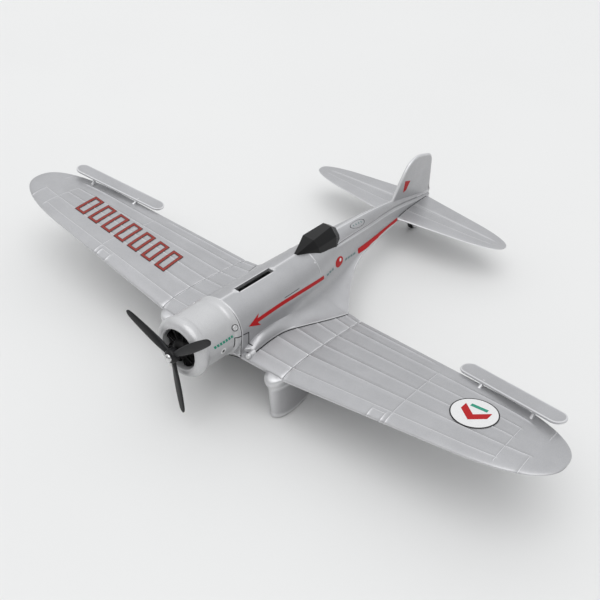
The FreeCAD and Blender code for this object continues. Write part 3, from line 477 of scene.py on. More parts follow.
def wing_ridge(x, share):
    """Height of the raised lines above the skin."""
    leading, trailing = wing_edges(x)
    chord = trailing - leading
    best = 0.0
    for at, start, end in SPAN_LINES:
        if start <= x <= end + LINE_HALF:
            best = max(best, ridge_profile(abs(share - at) * chord))
    for at, low, high in CHORD_LINES:
        if low <= share <= high + 0.01:
            best = max(best, ridge_profile(abs(x - at)))
    inner, outer, rear = HATCH
    if share <= rear + 0.01 and (abs(x - inner) < LINE_HALF or abs(x - outer) < LINE_HALF):
        best = max(best, ridge_profile(min(abs(x - inner), abs(x - outer))))
    if inner <= x <= outer:
        best = max(best, ridge_profile(abs(share - rear) * chord))
    return best


def line_shares(count, lines, gap, wide):
    """Shares of a chord to model, closing up at its ends and beside each raised line."""
    plain = [(1.0 - cos(pi * i / count)) / 2.0 for i in range(count + 1)]
    kept = [share for share in plain if all(abs(share - at) > gap for at in lines)]
    return sorted(kept + [at + step / wide for at in lines for step in LINE_STEPS])


def section(points):
    """Closed ring from (x, y, middle height, half thickness) rows."""
    upper = [(x, y, middle + half) for x, y, middle, half in points]
    lower = [(x, y, middle - half) for x, y, middle, half in points]
    return upper[::-1] + lower[1:]


def wing_places(start, end):
    """Distances from the centreline to model between two ribs."""
    spots = [start + 2.6 * i for i in range(int((min(end, TIP_START) - start) / 2.6) + 1)]
    if end > TIP_START:
        reach = 0.998 * (end - TIP_START)
        spots += [TIP_START + reach * sin(t) for t in quarter(34)]
    lines = [line[0] for line in CHORD_LINES] + list(HATCH[:2])
    lines = [at for at in lines if start < at < end]
    spots = [x for x in spots if all(abs(x - at) > 0.8 for at in lines)]
    spots += [at + step for at in lines for step in LINE_STEPS]
    return sorted(set(spots + [end if end < HALF_SPAN else spots[-1]]))


def wing_ring(x, side, shrink=0.0, lines=True):
    """Section of the wing, which may be shrunk a little and left without its raised lines."""
    leading, trailing = wing_edges(x)
    chord = trailing - leading
    points = []
    for share in line_shares(44, [line[0] for line in SPAN_LINES] + [HATCH[2]], 0.0235, max(chord, 26.0)):
        high = max(wing_half(x, share) - shrink, 0.05)
        high += wing_ridge(x, share) if lines else 0.0
        y = leading + shrink + share * (chord - 2.0 * shrink)
        points.append((side * x, y, wing_height(x), high))
    return section(points)


def wing_surface(x, y, lift=0.05):
    """A point just above the raised lines of the wing's upper skin."""
    leading, trailing = wing_edges(abs(x))
    share = (y - leading) / (trailing - leading)
    return (x, y, wing_height(abs(x)) + wing_half(abs(x), share) + LINE_HIGH + lift)


# Fuselage: how far aft, half width, top, bottom, widest height, and how full the top is.
STATIONS = [
    (29.0, 17.2, 17.6, -17.0, 0.4, 2.05), (40.0, 17.4, 17.6, -17.3, 0.4, 2.05),
    (52.0, 17.5, 17.5, -17.4, 0.3, 2.05), (66.0, 17.4, 17.4, -17.3, 0.2, 2.05),
    (82.0, 17.2, 17.4, -17.0, 0.1, 2.05), (101.7, 16.4, 17.6, -16.4, 0.2, 2.0),
    (118.0, 14.8, 17.9, -15.0, 0.4, 2.0), (136.0, 12.6, 18.4, -13.2, 0.8, 1.95),
    (154.0, 10.6, 18.2, -11.2, 1.2, 1.85), (174.0, 8.5, 17.2, -9.2, 1.6, 1.75),
    (196.0, 6.3, 15.0, -7.4, 1.8, 1.7), (220.0, 4.2, 11.0, -5.8, 1.6, 1.7),
    (244.0, 2.4, 6.3, -4.6, 1.2, 1.8), (253.5, 1.6, 4.0, -4.2, 1.0, 1.9),
]
FILLET_ON_WING = [(34.0, 20.6), (42.0, 22.3), (55.0, 22.4), (64.0, 22.9), (70.0, 24.2), (79.0, 27.4),
                  (90.0, 31.2), (100.0, 34.2), (110.0, 36.6)]
FILLET_BEHIND = [(110.0, 36.6), (116.0, 32.6), (122.0, 28.4), (135.0, 20.6), (145.0, 16.2),
                 (154.0, 13.6), (170.0, 10.4), (196.0, 6.8), (253.5, 1.65)]
SPINE_CREASE = [(128.0, 0.68), (134.0, 0.70), (171.0, 0.80), (212.0, 0.78), (242.0, 1.0),
                (253.5, 1.05)]
NOSE_Y = 35.4
TAIL_Y = 253.5
LIP = 1.1


def station(y, column):
    return lookup(STATIONS, y, column)


def wing_top(y):
    """Height of the plain upper skin where the outer wing starts."""
    leading, trailing = wing_edges(JOINT_X)
    share = min(max((y - leading) / (trailing - leading), 0.0), 1.0)
    return WING_Z + foil(share) * WING_THICK * (trailing - leading)


def side_height(y):
    """Height of the fillet's outer edge: on the wing, then up to the tail cone's side."""
    on_wing = wing_top(y) + LIP
    behind = blend([(110.0, 0.0), (154.0, 1.0), (174.0, 1.0)], y)
    return on_wing + (station(y, 4) - 2.0 - on_wing) * behind


def body_point(y, turn, shrink=0.0):
    """A point of the plain body section; turn is 0 at the top and pi at the bottom."""
    half = station(y, 1) - shrink
    middle = station(y, 4)
    power = 2.0 / station(y, 5)
    if turn <= pi / 2:
        up = (station(y, 2) - middle - shrink) * max(cos(turn), 0.0) ** power
    else:
        power = 2.0 / 2.3
        up = -(middle - station(y, 3) - shrink) * max(-cos(turn), 0.0) ** power
    return max(half, 0.2) * max(sin(turn), 0.0) ** power, middle + up


# Turn at which the plain side ends and the fillet starts, and the height of the roll at its nose.
SIDE_END = 1.45
ROLL_HIGH = 4.8
# Raised hoop in front of the canopy.
HOOP_Y = 108.6
HOOP_TURNS = (0.30, 1.15)


# Belly below the fillet: share of the width, share of the drop to the keel.
KEEL = ((1.0, 0.0), (0.90, 0.12), (0.72, 0.34), (0.56, 0.58), (0.40, 0.80), (0.22, 0.94), (0.0, 1.0))


def hull_half(y):
    """Port half of the outer section, from the top seam round to the keel."""
    reach = max(station(y, 1), 2.0)
    crease = blend(SPINE_CREASE, y)
    depth = 0.75 * ease(y, 128.0, 136.0)
    turns = [crease * (0.05 + 0.95 * i / 11) for i in range(11)]
    turns += [crease + step / reach for step in (-0.5, -0.18, 0.0, 0.25, 0.55, 0.9)]
    start = crease + 0.9 / reach
    turns += [start + (SIDE_END - start) * i / 11 for i in range(1, 12)]
    spots = [(0.0, station(y, 2) - 0.28), (0.22, station(y, 2) - 0.12)]
    for turn in turns:
        x, z = body_point(y, turn)
        past = (turn - crease) * reach
        dip = depth * ease(past, -0.5, 0.0) * (1.0 - ease(past, 0.0, 0.9))
        if HOOP_TURNS[0] < turn < HOOP_TURNS[1]:
            dip -= 0.22 * (1.0 - ease(abs(y - HOOP_Y), 0.1, 0.5))
        x1, z1 = body_point(y, turn + 0.02)
        out = Vector((z - z1, x1 - x)).normalized()
        spots.append((x - out.x * dip, z - out.y * dip))
    fillet = FILLET_ON_WING if y <= 110.0 else FILLET_BEHIND
    swell = 1.0 - (1.0 - ease(y, 37.9, 42.0)) ** 2
    edge_out = max(station(y, 1) + (blend(fillet, y) - station(y, 1)) * swell, station(y, 1) + 0.05)
    edge_up = side_height(y)
    shoulder_x, shoulder_z = spots[-1]
    hollow = 2.9 - 1.0 * ease(y, 60.0, 120.0)
    roll = 1.0 - ease(y, 50.0, 88.0)
    roll_high = ROLL_HIGH * (0.4 + 0.6 * ease(y, 38.5, 50.0))
    for index in range(1, 23):
        share = 0.95 * index / 22
        swept = Vector((shoulder_x + (edge_out - shoulder_x) * share ** 1.7,
                        shoulder_z + (edge_up - shoulder_z) * (1.0 - (1.0 - share) ** hollow)))
        if share < 0.3:
            rolled = Vector((shoulder_x, shoulder_z + (edge_up + roll_high - shoulder_z) * share / 0.3))
        else:
            turn = pi / 2 * (share - 0.3) / 0.65
            rolled = Vector((shoulder_x + (edge_out - shoulder_x) * sin(turn) ** 0.8,
                             edge_up + roll_high * cos(turn)))
        spots.append(tuple(swept.lerp(rolled, roll)))
    for turn in (0.0, 0.4, 0.8, 1.2, 1.57):
        spots.append((edge_out - 0.5 + 0.5 * sin(turn), edge_up - 0.5 + 0.5 * cos(turn)))
    under = edge_up - LIP - 0.4
    belly = station(y, 3)
    return spots + [(edge_out * share, under + (belly - under) * drop) for share, drop in KEEL]


OUTLINES = {}


def on_side(y, z, up=0.0, lift=0.05):
    """A point just outside the port side, from a distance aft and a height, then up the skin."""
    key = round(y, 3)
    if key not in OUTLINES:
        OUTLINES[key] = hull_half(y)
    outline = OUTLINES[key]
    index = next(i for i in range(len(outline) - 1) if outline[i][1] >= z > outline[i + 1][1])
    (x0, z0), (x1, z1) = outline[index], outline[index + 1]
    spot = Vector((x0, z0)).lerp(Vector((x1, z1)), (z0 - z) / (z0 - z1))
    while abs(up) > 1e-6:
        goal = Vector(outline[index] if up > 0 else outline[index + 1])
        gap = (goal - spot).length
        if gap >= abs(up):
            spot = spot.lerp(goal, abs(up) / gap)
            break
        spot = goal
        index += -1 if up > 0 else 1
        up -= copysign(gap, up)
    (x0, z0), (x1, z1) = outline[index], outline[index + 1]
    out = Vector((z0 - z1, x1 - x0)).normalized()
    return (spot.x + out.x * lift, y, spot.y + out.y * lift)


def on_spine(y, across, lift=0.05):
    """A point just above the fuselage's back, at a distance from the middle."""
    turn = 0.0
    while body_point(y, turn)[0] < abs(across) and turn < 1.4:
        turn += 0.01
    return (across, y, body_point(y, turn)[1] + lift)


def paced(start, end, step):
    count = max(int(ceil((end - start) / step)), 1)
    return [start + (end - start) * i / count for i in range(count + 1)]


# ---- fuselage
SLOT_Y = (49.55, 79.05)
SLOT_HALF = 2.1


def fuselage_half(side, word):
    """One hollow half with its half of the coin slot and the seat for the wing."""
    hull = bmesh.new()
    places = [36.3] + paced(37.0, 43.0, 0.5) + paced(44.5, 106.6, 1.9)
    places += [HOOP_Y + 0.2 * k for k in range(-7, 8)] + paced(110.0, TAIL_Y, 2.4)
    rows = [[(side * x, y, z) for x, z in hull_half(y)] for y in places]
    for y, inset in ((36.0, 0.12), (NOSE_Y + 0.4, 0.5), (NOSE_Y + 0.1, 1.5)):
        keep = 1.0 - inset / 17.5
        rows.insert(0, [(side * x * keep, y, z * keep) for x, z in hull_half(36.3)])
    rings(hull, rows)
    cavity = bmesh.new()
    rows = []
    for y in paced(38.0, 196.0, 8.0):
        spots = [body_point(y, pi * i / 20, 2.2) for i in range(21)]
        rows.append([(side * (x if 0 < i < 20 else -1.0), y, z) for i, (x, z) in enumerate(spots)])
    rings(cavity, rows)
    hull = cut_with(hull, cavity)
    low, high = (-3.0, SLOT_HALF) if side > 0 else (-SLOT_HALF, 3.0)
    hull = cut_with(hull, block(low, high, SLOT_Y[0], SLOT_Y[1], 5.0, 30.0))
    outer = (-3.0, 60.0) if side > 0 else (-60.0, 3.0)
    leading, trailing = wing_edges(JOINT_X)
    hull = cut_with(hull, block(outer[0], outer[1], leading - 1.0, trailing - 0.6, -40.0, WING_Z))
    finish_piece("fuselage_shell_" + word, hull, ["fuselage_" + word], crease=30.0)


both_sides(fuselage_half)


# ---- cowling, engine
COWL_UP = 1.3
COWL_SHAPE = [(8.2, 17.75), (9.3, 17.6), (10.3, 17.1), (11.4, 16.6), (14.0, 16.6), (21.0, 16.85),
              (27.0, 16.75), (29.4, 16.6), (30.6, 16.8), (32.0, 17.45), (33.2, 17.6), (34.9, 17.6)]


def cowl_radius(y):
    """Outer radius of the cowling: a fat lip, a dip behind it, the barrel and a flared rear rim."""
    return blend(COWL_SHAPE, y)


def cowl_middle(y):
    """Height of the middle of the cowling's section; the barrel sits a little above the lip."""
    return COWL_UP + 0.5 * ease(y, 8.5, 12.0) * (1.0 - ease(y, 28.0, 33.0))


def cowling():
    """Turned ring with a rounded front lip and a thin wall."""
    shell = bmesh.new()
    nose = [(3.8 + 4.4 * (1.0 - cos(t)), 13.6 + 4.15 * sin(t)) for t in quarter(12)]
    mouth = [(5.0 - 1.2 * sin(t), 12.0 + 1.4 * (1.0 - cos(t))) for t in quarter(7)[:-1]]
    barrel = paced(8.6, 12.0, 0.35) + paced(13.5, 27.5, 2.0) + paced(28.5, 34.7, 0.4)
    inside = [(35.05, 17.45), (35.2, 17.2), (35.2, 15.9), (12.5, 15.9), (9.0, 14.6), (9.0, 12.0)]
    profile = mouth + nose + [(y, cowl_radius(y)) for y in barrel] + inside
    hoops(shell, [[place(r * sin(a), y, cowl_middle(y) + r * cos(a)) for a in turns(128)]
                  for y, r in profile])
    finish_piece("cowling_shell", shell, ["cowling"], material=COWL_SILVER, crease=40.0)


cowling()


def engine():
    """Crankcase and nine finned cylinders in front of a round plate."""
    made = bmesh.new()
    plate = [(15.7, 0.02), (15.7, 14.2), (12.9, 14.2), (12.7, 14.0), (12.7, 6.4), (11.2, 5.9),
             (7.4, 5.6), (5.8, 5.2), (4.4, 4.3), (3.4, 3.0), (3.2, 1.6), (3.2, 0.02)]
    lathe(made, plate, (0, 0, COWL_UP), "y", 72)
    for angle in turns(9):
        out = Vector((sin(angle), 0.0, cos(angle)))
        side = Vector((cos(angle), 0.0, -sin(angle)))
        rows = []
        reach = 4.6
        while reach < 11.3:
            for step, radius in ((0.0, 1.5), (0.16, 1.95), (0.34, 1.95), (0.5, 1.5)):
                rows.append((reach + step, radius))
            reach += 0.72
        rows += [(11.4, 1.5), (11.7, 1.2), (11.8, 0.6)]
        centre = Vector((0.0, 8.8, COWL_UP))
        rings(made, [circle(centre + out * far, side, AFT, radius, 20) for far, radius in rows])
        foot = out * 4.9 + side * 1.3
        head = out * 11.0 + side * 1.3
        low = (foot.x, 6.2, foot.z + COWL_UP)
        high = (head.x, 6.9, head.z + COWL_UP)
        rings(made, rod_rings(low, high, ((0.0, 0.32), (1.0, 0.32)), 10))
    finish_piece("radial_engine", made, ["engine_face"], "engine_black", crease=36.0)


engine()


# ---- propeller
# Share of the radius, width, thickness and pitch in degrees.
BLADE = [(0.06, 3.6, 2.8, 30.0), (0.16, 4.0, 2.3, 24.0), (0.30, 5.2, 1.9, 16.0),
         (0.48, 5.7, 1.6, 10.0), (0.66, 5.5, 1.35, 7.0), (0.82, 4.9, 1.15, 6.0),
         (0.92, 4.2, 1.0, 5.0), (0.975, 3.1, 0.8, 5.0), (1.0, 1.2, 0.6, 5.0)]
PROP_RADIUS = 36.7
PROP_START = 42.2


def propeller():
    """Hollow hub and three blades with an oval section."""
    made = bmesh.new()
    hub = round_corners([(-2.4, 1.3), (-2.4, 3.5), (-1.3, 4.05), (1.8, 4.05), (2.6, 3.6), (2.6, 1.3)], 0.7)
    hoops(made, [[place(r * sin(a), y, r * cos(a)) for a in turns(56)] for y, r in hub])
    shares = [0.06 + 0.84 * i / 26 for i in range(27)]
    shares += [0.90 + 0.0995 * sin(t) for t in quarter(10)[1:]]
    for index in range(3):
        turn = radians(PROP_START + index * 120.0)
        out = Vector((cos(turn), 0.0, sin(turn)))
        side = Vector((-sin(turn), 0.0, cos(turn)))
        rows = []
        for share in shares:
            width, thick, pitch = (lookup(BLADE, share, column) for column in (1, 2, 3))
            angle = radians(pitch)
            row = []
            for t in turns(20):
                across = width / 2.0 * cos(t)
                depth = thick / 2.0 * copysign(abs(sin(t)) ** 0.8, sin(t))
                y = depth * cos(angle) - across * sin(angle)
                up = across * cos(angle) + depth * sin(angle)
                point = out * (share * PROP_RADIUS) + side * up
                row.append((point.x, y, point.z))
            rows.append(row)
        rings(made, rows)
    finish_piece("propeller_moulding", made, ["propeller"], "propeller_black", "propeller", crease=40.0)


propeller()


def pin_piece():
    """Pin with a domed head in front of the hub."""
    made = bmesh.new()
    dome = [(-4.65 + 1.75 * (1.0 - cos(t)), 2.4 * sin(t)) for t in quarter(12)[1:]]
    shank = [(-2.66, 2.3), (-2.55, 2.1), (-2.55, 1.2), (14.3, 1.2), (14.4, 0.02)]
    profile = [(-4.65, 0.02)] + dome + shank
    lathe(made, profile, (0, 0, 0), "y", 40)
    finish_piece("propeller_rivet", made, ["propeller_pin"], "bright_pin", crease=40.0)


pin_piece()


# ---- wings
def wing_panel(side, word):
    """Outer wing with a small step at the joint's seam."""
    made = bmesh.new()
    places = wing_places(JOINT_X + 0.2, HALF_SPAN)
    rows = [wing_ring(JOINT_X + 0.2, side, 0.35, False), wing_ring(JOINT_X + 0.45, side, 0.05),
            wing_ring(JOINT_X + 0.75, side)]
    rows += [wing_ring(x, side) for x in places if x > JOINT_X + 1.0]
    rings(made, rows)
    finish_piece("wing_skin_" + word, made, ["wing_panel_" + word], crease=38.0)


both_sides(wing_panel)

GEAR_X = 40.3
TRAP_Y = 68.0
BORE_RADIUS = 14.0
RECESS_RADIUS = 15.9
LOCK_Y = TRAP_Y - 6.0
CAM_REACH = 11.4
WING_SCREWS = ((13.0, 43.0), (-13.0, 43.0), (10.3, 94.0), (-10.3, 94.0))
# Rings of the knuckle above a leg: height, nose, chord, half width.
KNUCKLE = ((-19.2, 33.3, 54.6, 5.9), (-18.5, 32.4, 56.4, 6.7), (-17.3, 31.7, 57.8, 7.3),
           (-16.0, 31.4, 58.4, 7.7), (-14.9, 31.5, 58.2, 8.1), (-14.0, 32.1, 57.0, 8.6),
           (-13.2, 33.1, 55.4, 9.2), (-12.5, 34.5, 53.0, 9.9), (-12.0, 36.2, 50.0, 10.6))


def teardrop(nose, chord, half_width, z, centre=GEAR_X):
    """Streamlined ring lying flat at one height."""
    count = 22
    near, far = [], []
    for i in range(count + 1):
        share = (1.0 - cos(pi * i / count)) / 2.0
        half = foil(share) * 2.0 * half_width + BLUNT * share
        near.append((centre - half, nose + share * chord, z))
        far.append((centre + half, nose + share * chord, z))
    return near + far[::-1][:-1]


def centre_section():
    """Wing between the outer panels, with the knuckles, the trap's seat and the screw holes."""
    made = bmesh.new()
    inner = [20.0 + 2.6 * i for i in range(10)]
    edge = [wing_ring(JOINT_X, 1, 0.35, False), wing_ring(JOINT_X - 0.3, 1, 0.05),
            wing_ring(JOINT_X - 0.7, 1)]
    port = edge + [wing_ring(x, 1) for x in inner[::-1] if x < JOINT_X - 1.0] + [wing_ring(10.0, 1)]
    starboard = [[(-x, y, z) for x, y, z in row] for row in port[::-1]]
    rings(made, port + starboard)
    for side in (1, -1):
        knuckle = bmesh.new()
        rings(knuckle, [[(side * x, y, z) for x, y, z in teardrop(nose, chord, half, high)]
                        for high, nose, chord, half in KNUCKLE])
        made = cut_with(made, knuckle, "UNION")
    boss = bmesh.new()
    lathe(boss, round_corners([(-18.4, 0.02), (-18.4, 18.0), (-8.6, 18.0), (-8.6, 0.02)], 0.5),
          (0, TRAP_Y, 0), "z", 96)
    made = cut_with(made, boss, "UNION")
    bore = bmesh.new()
    lathe(bore, [(-30.0, 0.02), (-30.0, RECESS_RADIUS), (-17.0, RECESS_RADIUS), (-17.0, BORE_RADIUS),
                 (0.0, BORE_RADIUS), (0.0, 0.02)], (0, TRAP_Y, 0), "z", 96)
    made = cut_with(made, bore)
    # Room for the lock's cam to turn above the seat, as in the body.
    made = cut_with(made, tube((0, LOCK_Y, -8.5), (0, LOCK_Y, 0.0), CAM_REACH, 64))
    for x, y in WING_SCREWS:
        made = cut_with(made, tube((x, y, -30.0), (x, y, WING_Z - 0.8), 2.45))
        made = cut_with(made, tube((x, y, -16.0), (x, y, 0.0), 1.2))
    finish_piece("wing_centre_skin", made, ["wing_center_section"], crease=36.0)


centre_section()


# ---- ailerons
AILERON_IN = Vector((122.4, 103.6, -1.4))
AILERON_OUT = Vector((177.4, 89.2, 9.2))
AILERON_HALF = 5.4
# Edge of the plate, as (distance in from the rim, height), and the peg's (share, radius) rings.
AILERON_EDGE = ((1.1, 0.0), (0.5, 0.0), (0.14, 0.16), (0.0, 0.5), (0.0, 1.0), (0.14, 1.34), (0.5, 1.5),
                (1.0, 1.5), (1.35, 1.36), (2.2, 1.36))
PEG = ((0.0, 1.1), (0.2, 1.1), (0.55, 1.05), (0.8, 1.1), (1.0, 1.1))


def aileron_line(x):
    """Distance aft and height of the plate's middle line."""
    share = (x - AILERON_IN.x) / (AILERON_OUT.x - AILERON_IN.x)
    return AILERON_IN.lerp(AILERON_OUT, share).yz


def aileron(side, word):
    """Raised plate with rounded ends and edges on two leaning pegs."""
    made = bmesh.new()
    along = AILERON_OUT - AILERON_IN
    length = along.length
    u = along.normalized()
    v = Vector((-u.y, u.x, 0.0)).normalized()
    w = u.cross(v)
    rows = []
    for inset, z in AILERON_EDGE:
        row = []
        half = AILERON_HALF - inset
        for end, low in ((length, -pi / 2), (0.0, pi / 2)):
            for i in range(19):
                t = low + pi * i / 18
                spot = AILERON_IN + u * (end + half * cos(t)) + v * (half * sin(t)) + w * z
                row.append((side * spot.x, spot.y, spot.z))
        rows.append(row)
    rings(made, rows)
    for x in (133.5, 166.3):
        y, z = aileron_line(x)
        trailing = wing_edges(x)[1]
        a = Vector((x, trailing - 4.6, wing_height(x) - 0.5))
        b = Vector((x, y - 2.6, z + 0.7))
        rings(made, [[(side * px, py, pz) for px, py, pz in row] for row in rod_rings(a, b, PEG, 24)])
    finish_piece("aileron_plate_" + word, made, ["aileron_" + word], crease=42.0)


both_sides(aileron)


# ---- tail
TAIL_HALF_SPAN = 77.0
TAIL_Z = 1.1
TAIL_MID_Y = 227.0
TAIL_THICK = 0.075
TAIL_LINES = (0.30, 0.56)


def tail_edges(x):
    leading = 205.0 + 0.165 * x
    trailing = 249.5 - 0.175 * x
    pull = tip_round(x, 48.0, TAIL_HALF_SPAN, 2.6)
    return leading + (TAIL_MID_Y - leading) * pull, trailing + (TAIL_MID_Y - trailing) * pull


def tail_half(share, chord):
    """Half thickness of the tailplane at a share of its chord."""
    return foil(share) * TAIL_THICK * chord + BLUNT * share


def tail_ring(x):
    """Section of the tailplane, with a raised line and a sunk hinge line."""
    leading, trailing = tail_edges(abs(x))
    chord = trailing - leading
    points = []
    for share in line_shares(30, TAIL_LINES, 0.045, max(chord, 14.0)):
        line = max(ridge_profile(abs(share - at) * chord) for at in TAIL_LINES)
        high = -line if abs(share - TAIL_LINES[1]) * chord < 1.0 else line * 0.8
        high = tail_half(share, chord) + high * ease(TAIL_HALF_SPAN - 6.0 - abs(x), 0.0, 4.0)
        points.append((x, leading + share * chord, TAIL_Z, high))
    return section(points)


def tailplane():
    made = bmesh.new()
    half = [3.0 * i for i in range(16)]
    half += [48.0 + 28.95 * sin(t) for t in quarter(26)]
    rings(made, [tail_ring(-x) for x in half[::-1]] + [tail_ring(x) for x in half[1:]])
    finish_piece("tailplane_skin", made, ["tailplane"], crease=40.0)


tailplane()

# Distance aft and height, from the fin's foot over the top and down the rudder.
FIN_OUTLINE = [(202.5, 11.6), (205.6, 16.2), (209.4, 22.0), (212.3, 26.6), (215.2, 30.9), (218.2, 34.4),
               (221.4, 36.8), (225.4, 38.5), (230.5, 39.0), (237.0, 37.7), (243.5, 36.0),
               (246.2, 35.1), (248.0, 33.6), (249.2, 31.4), (249.8, 29.0), (250.6, 23.2),
               (251.4, 17.4), (252.3, 10.6), (253.4, 3.0), (206.0, 5.2)]


def fin():
    """Flat fin with a rounded rim."""
    made = bmesh.new()
    centre = Vector((230.0, 18.0))
    count = len(FIN_OUTLINE)
    edges = []
    for index, spot in enumerate(FIN_OUTLINE):
        before = Vector(FIN_OUTLINE[index - 1])
        after = Vector(FIN_OUTLINE[(index + 1) % count])
        inward = Vector((after.y - before.y, before.x - after.x)).normalized()
        if inward.dot(centre - Vector(spot)) < 0:
            inward = -inward
        edges.append((Vector(spot), inward))
    rows = []
    for half, inset in ((-1.1, 3.0), (-1.1, 1.2), (-1.0, 0.55), (-0.7, 0.15), (0.0, 0.0), (0.7, 0.15),
                        (1.0, 0.55), (1.1, 1.2), (1.1, 3.0)):
        rows.append([(half, (spot + inward * inset).x, (spot + inward * inset).y)
                     for spot, inward in edges])
    rings(made, rows)
    finish_piece("fin_and_rudder", made, ["fin"], crease=44.0)


fin()


# ---- canopy
# Port half of each ring of the canopy, from its foot up.
CANOPY_HALF_RINGS = [
    [(1.6, 101.2, 13.5), (1.6, 101.0, 16.0), (1.4, 101.3, 17.5), (0.9, 101.8, 18.2)],
    [(8.2, 116.3, 11.5), (8.2, 116.3, 13.8), (6.7, 114.8, 18.9), (4.1, 112.5, 24.4)],
    [(8.7, 131.0, 11.0), (8.7, 131.0, 13.6), (7.6, 131.2, 20.4), (3.0, 130.8, 25.8)],
    [(7.4, 136.6, 10.5), (7.2, 136.8, 12.5), (5.7, 137.0, 18.2), (2.6, 136.6, 22.4)]]


def canopy():
    made = bmesh.new()
    rings(made, [half + [(-x, y, z) for x, y, z in half[::-1]] for half in CANOPY_HALF_RINGS])
    edges = [e for e in made.edges if len(e.link_faces) == 2 and e.calc_face_angle(0.0) > 0.12]
    bmesh.ops.bevel(made, geom=edges, offset=0.28 * MM, segments=2, affect="EDGES", profile=0.6)
    finish_piece("canopy_moulding", made, ["canopy"], "canopy_black", crease=9.0)


canopy()


# ---- wheels and legs
# A wheel's side and tread: share of the half width, share of the radius.
WHEEL_SIDE = [(1.0, 0.38), (0.86, 0.42), (0.72, 0.48), (0.72, 0.60), (0.86, 0.64), (1.0, 0.70),
              (0.98, 0.84), (0.86, 0.92), (0.66, 0.97), (0.36, 0.995), (0.12, 1.0)]


def wheel_piece(name, node, half, radius, bore):
    """Wheel with a dished hub, on the node's own centre."""
    low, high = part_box(node)
    centre = (low + high) / 2.0
    made = bmesh.new()
    side = [(half, bore)] + [(half * across, radius * out) for across, out in WHEEL_SIDE]
    profile = side + [(-along, r) for along, r in side[::-1]]
    hoops(made, [[centre + Vector((along, r * sin(a), r * cos(a))) * MM for a in turns(72)]
                 for along, r in profile])
    finish_piece(name, made, [node], "wheel_black", node, crease=50.0)


wheel_piece("main_tyre_left", "main_wheel_left", 3.2, 8.5, 1.15)
wheel_piece("main_tyre_right", "main_wheel_right", 3.2, 8.5, 1.15)
wheel_piece("tail_tyre", "tail_wheel", 1.7, 4.2, 0.85)


def ground(y):
    """Height of the floor in the aircraft's frame, at a distance aft."""
    return (-HUB.z / MM + y * SIN) / COS


# Height, nose, chord and half width of a leg.
LEG = [(-52.0, 39.4, 34.0, 5.4), (-36.0, 36.8, 43.0, 5.4), (-19.0, 33.6, 54.0, 5.6)]
LEG_TOP = -19.0
FOOT_GAP = 1.0
WELL_RADIUS = 9.5


def gear_leg(side, word):
    """Streamlined leg: smooth skin down to the slanted foot, with a wheel well cut in it."""
    rows = []
    for level in range(15):
        row = []
        for x, y, z in teardrop(0.0, 1.0, 1.0, 0.0, 0.0):
            bottom = ground(40.0 + 34.0 * y) + FOOT_GAP
            up = bottom + (LEG_TOP - bottom) * level / 14.0
            nose, chord, half = (lookup(LEG, up, column) for column in (1, 2, 3))
            row.append((side * (GEAR_X + x * half), nose + y * chord, up))
        rows.append(row)
    made = bmesh.new()
    rings(made, rows)
    low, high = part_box("main_wheel_" + word)
    centre = (low + high) / 2.0 - HUB
    y = (centre.y * COS - centre.z * SIN) / MM
    z = (centre.y * SIN + centre.z * COS) / MM
    well = bmesh.new()
    arch = [pi * i / 24 for i in range(25)]
    profile = [(y + WELL_RADIUS * cos(t), z + WELL_RADIUS * sin(t)) for t in arch]
    profile += [(y - WELL_RADIUS, z - 20.0), (y + WELL_RADIUS, z - 20.0)]
    rings(well, [[(side * (GEAR_X + x), py, pz) for py, pz in profile] for x in (-3.6, 3.6)])
    made = cut_with(made, well)
    finish_piece("gear_leg_" + word, made, ["gear_trouser_" + word], crease=40.0)


both_sides(gear_leg)


# ---- markings and painted joint shade
SHEET_THICK = 0.03


def sheet_piece(name, grid, material):
    """A thin patch for a printed mark or for painted shade: a grid of points on a surface with a second
    layer just beneath.
    """
    made = bmesh.new()
    top = [[made.verts.new(place(*point)) for point in row] for row in grid]
    for first, second in zip(top, top[1:]):
        for index in range(len(first) - 1):
            made.faces.new((first[index], first[index + 1], second[index + 1], second[index]))
    bmesh.ops.remove_doubles(made, verts=made.verts, dist=0.0000005)
    bmesh.ops.recalc_face_normals(made, faces=made.faces)
    bmesh.ops.solidify(made, geom=made.faces, thickness=SHEET_THICK * MM)
    finish_piece(name, made, (), "", material=material, crease=60.0)


def body_strip(name, line, material, lift=0.07, count=60):
    """A stripe on the port side through (aft, height, half width) rows."""
    grid = []
    for y in paced(line[0][0], line[-1][0], (line[-1][0] - line[0][0]) / count):
        height, wide = (lookup(line, y, column) for column in (1, 2))
        grid.append([on_side(y, height, wide * k / 3.0, lift) for k in range(-3, 4)])
    sheet_piece(name, grid, material)


# Middle of the arrow's shaft: distance aft, height.
ARROW = [(48.3, 5.7), (59.7, 5.9), (73.0, 5.9), (86.9, 5.35), (100.0, 4.6), (111.3, 3.7)]
body_strip("arrow_shaft", [(y, z, 1.15) for y, z in ARROW], RED)
arrow_rows = [[on_side(41.6 + share * (6.6 + 3.0 * abs(k) / 4.0), 5.4, 3.7 * share * k / 4.0 + 0.001, 0.08)
               for k in range(-4, 5)] for share in (i / 20.0 for i in range(21))]
sheet_piece("arrow_head", arrow_rows, RED)
body_strip("tail_stripe", [(152.7, 1.7, 1.85), (165.0, 1.0, 1.85), (177.0, 0.6, 1.8), (192.0, 0.6, 1.7),
                           (206.0, 0.9, 1.5)], RED)
body_strip("side_line", [(73.5, 7.9, 0.16), (87.0, 7.8, 0.16)], DARK)
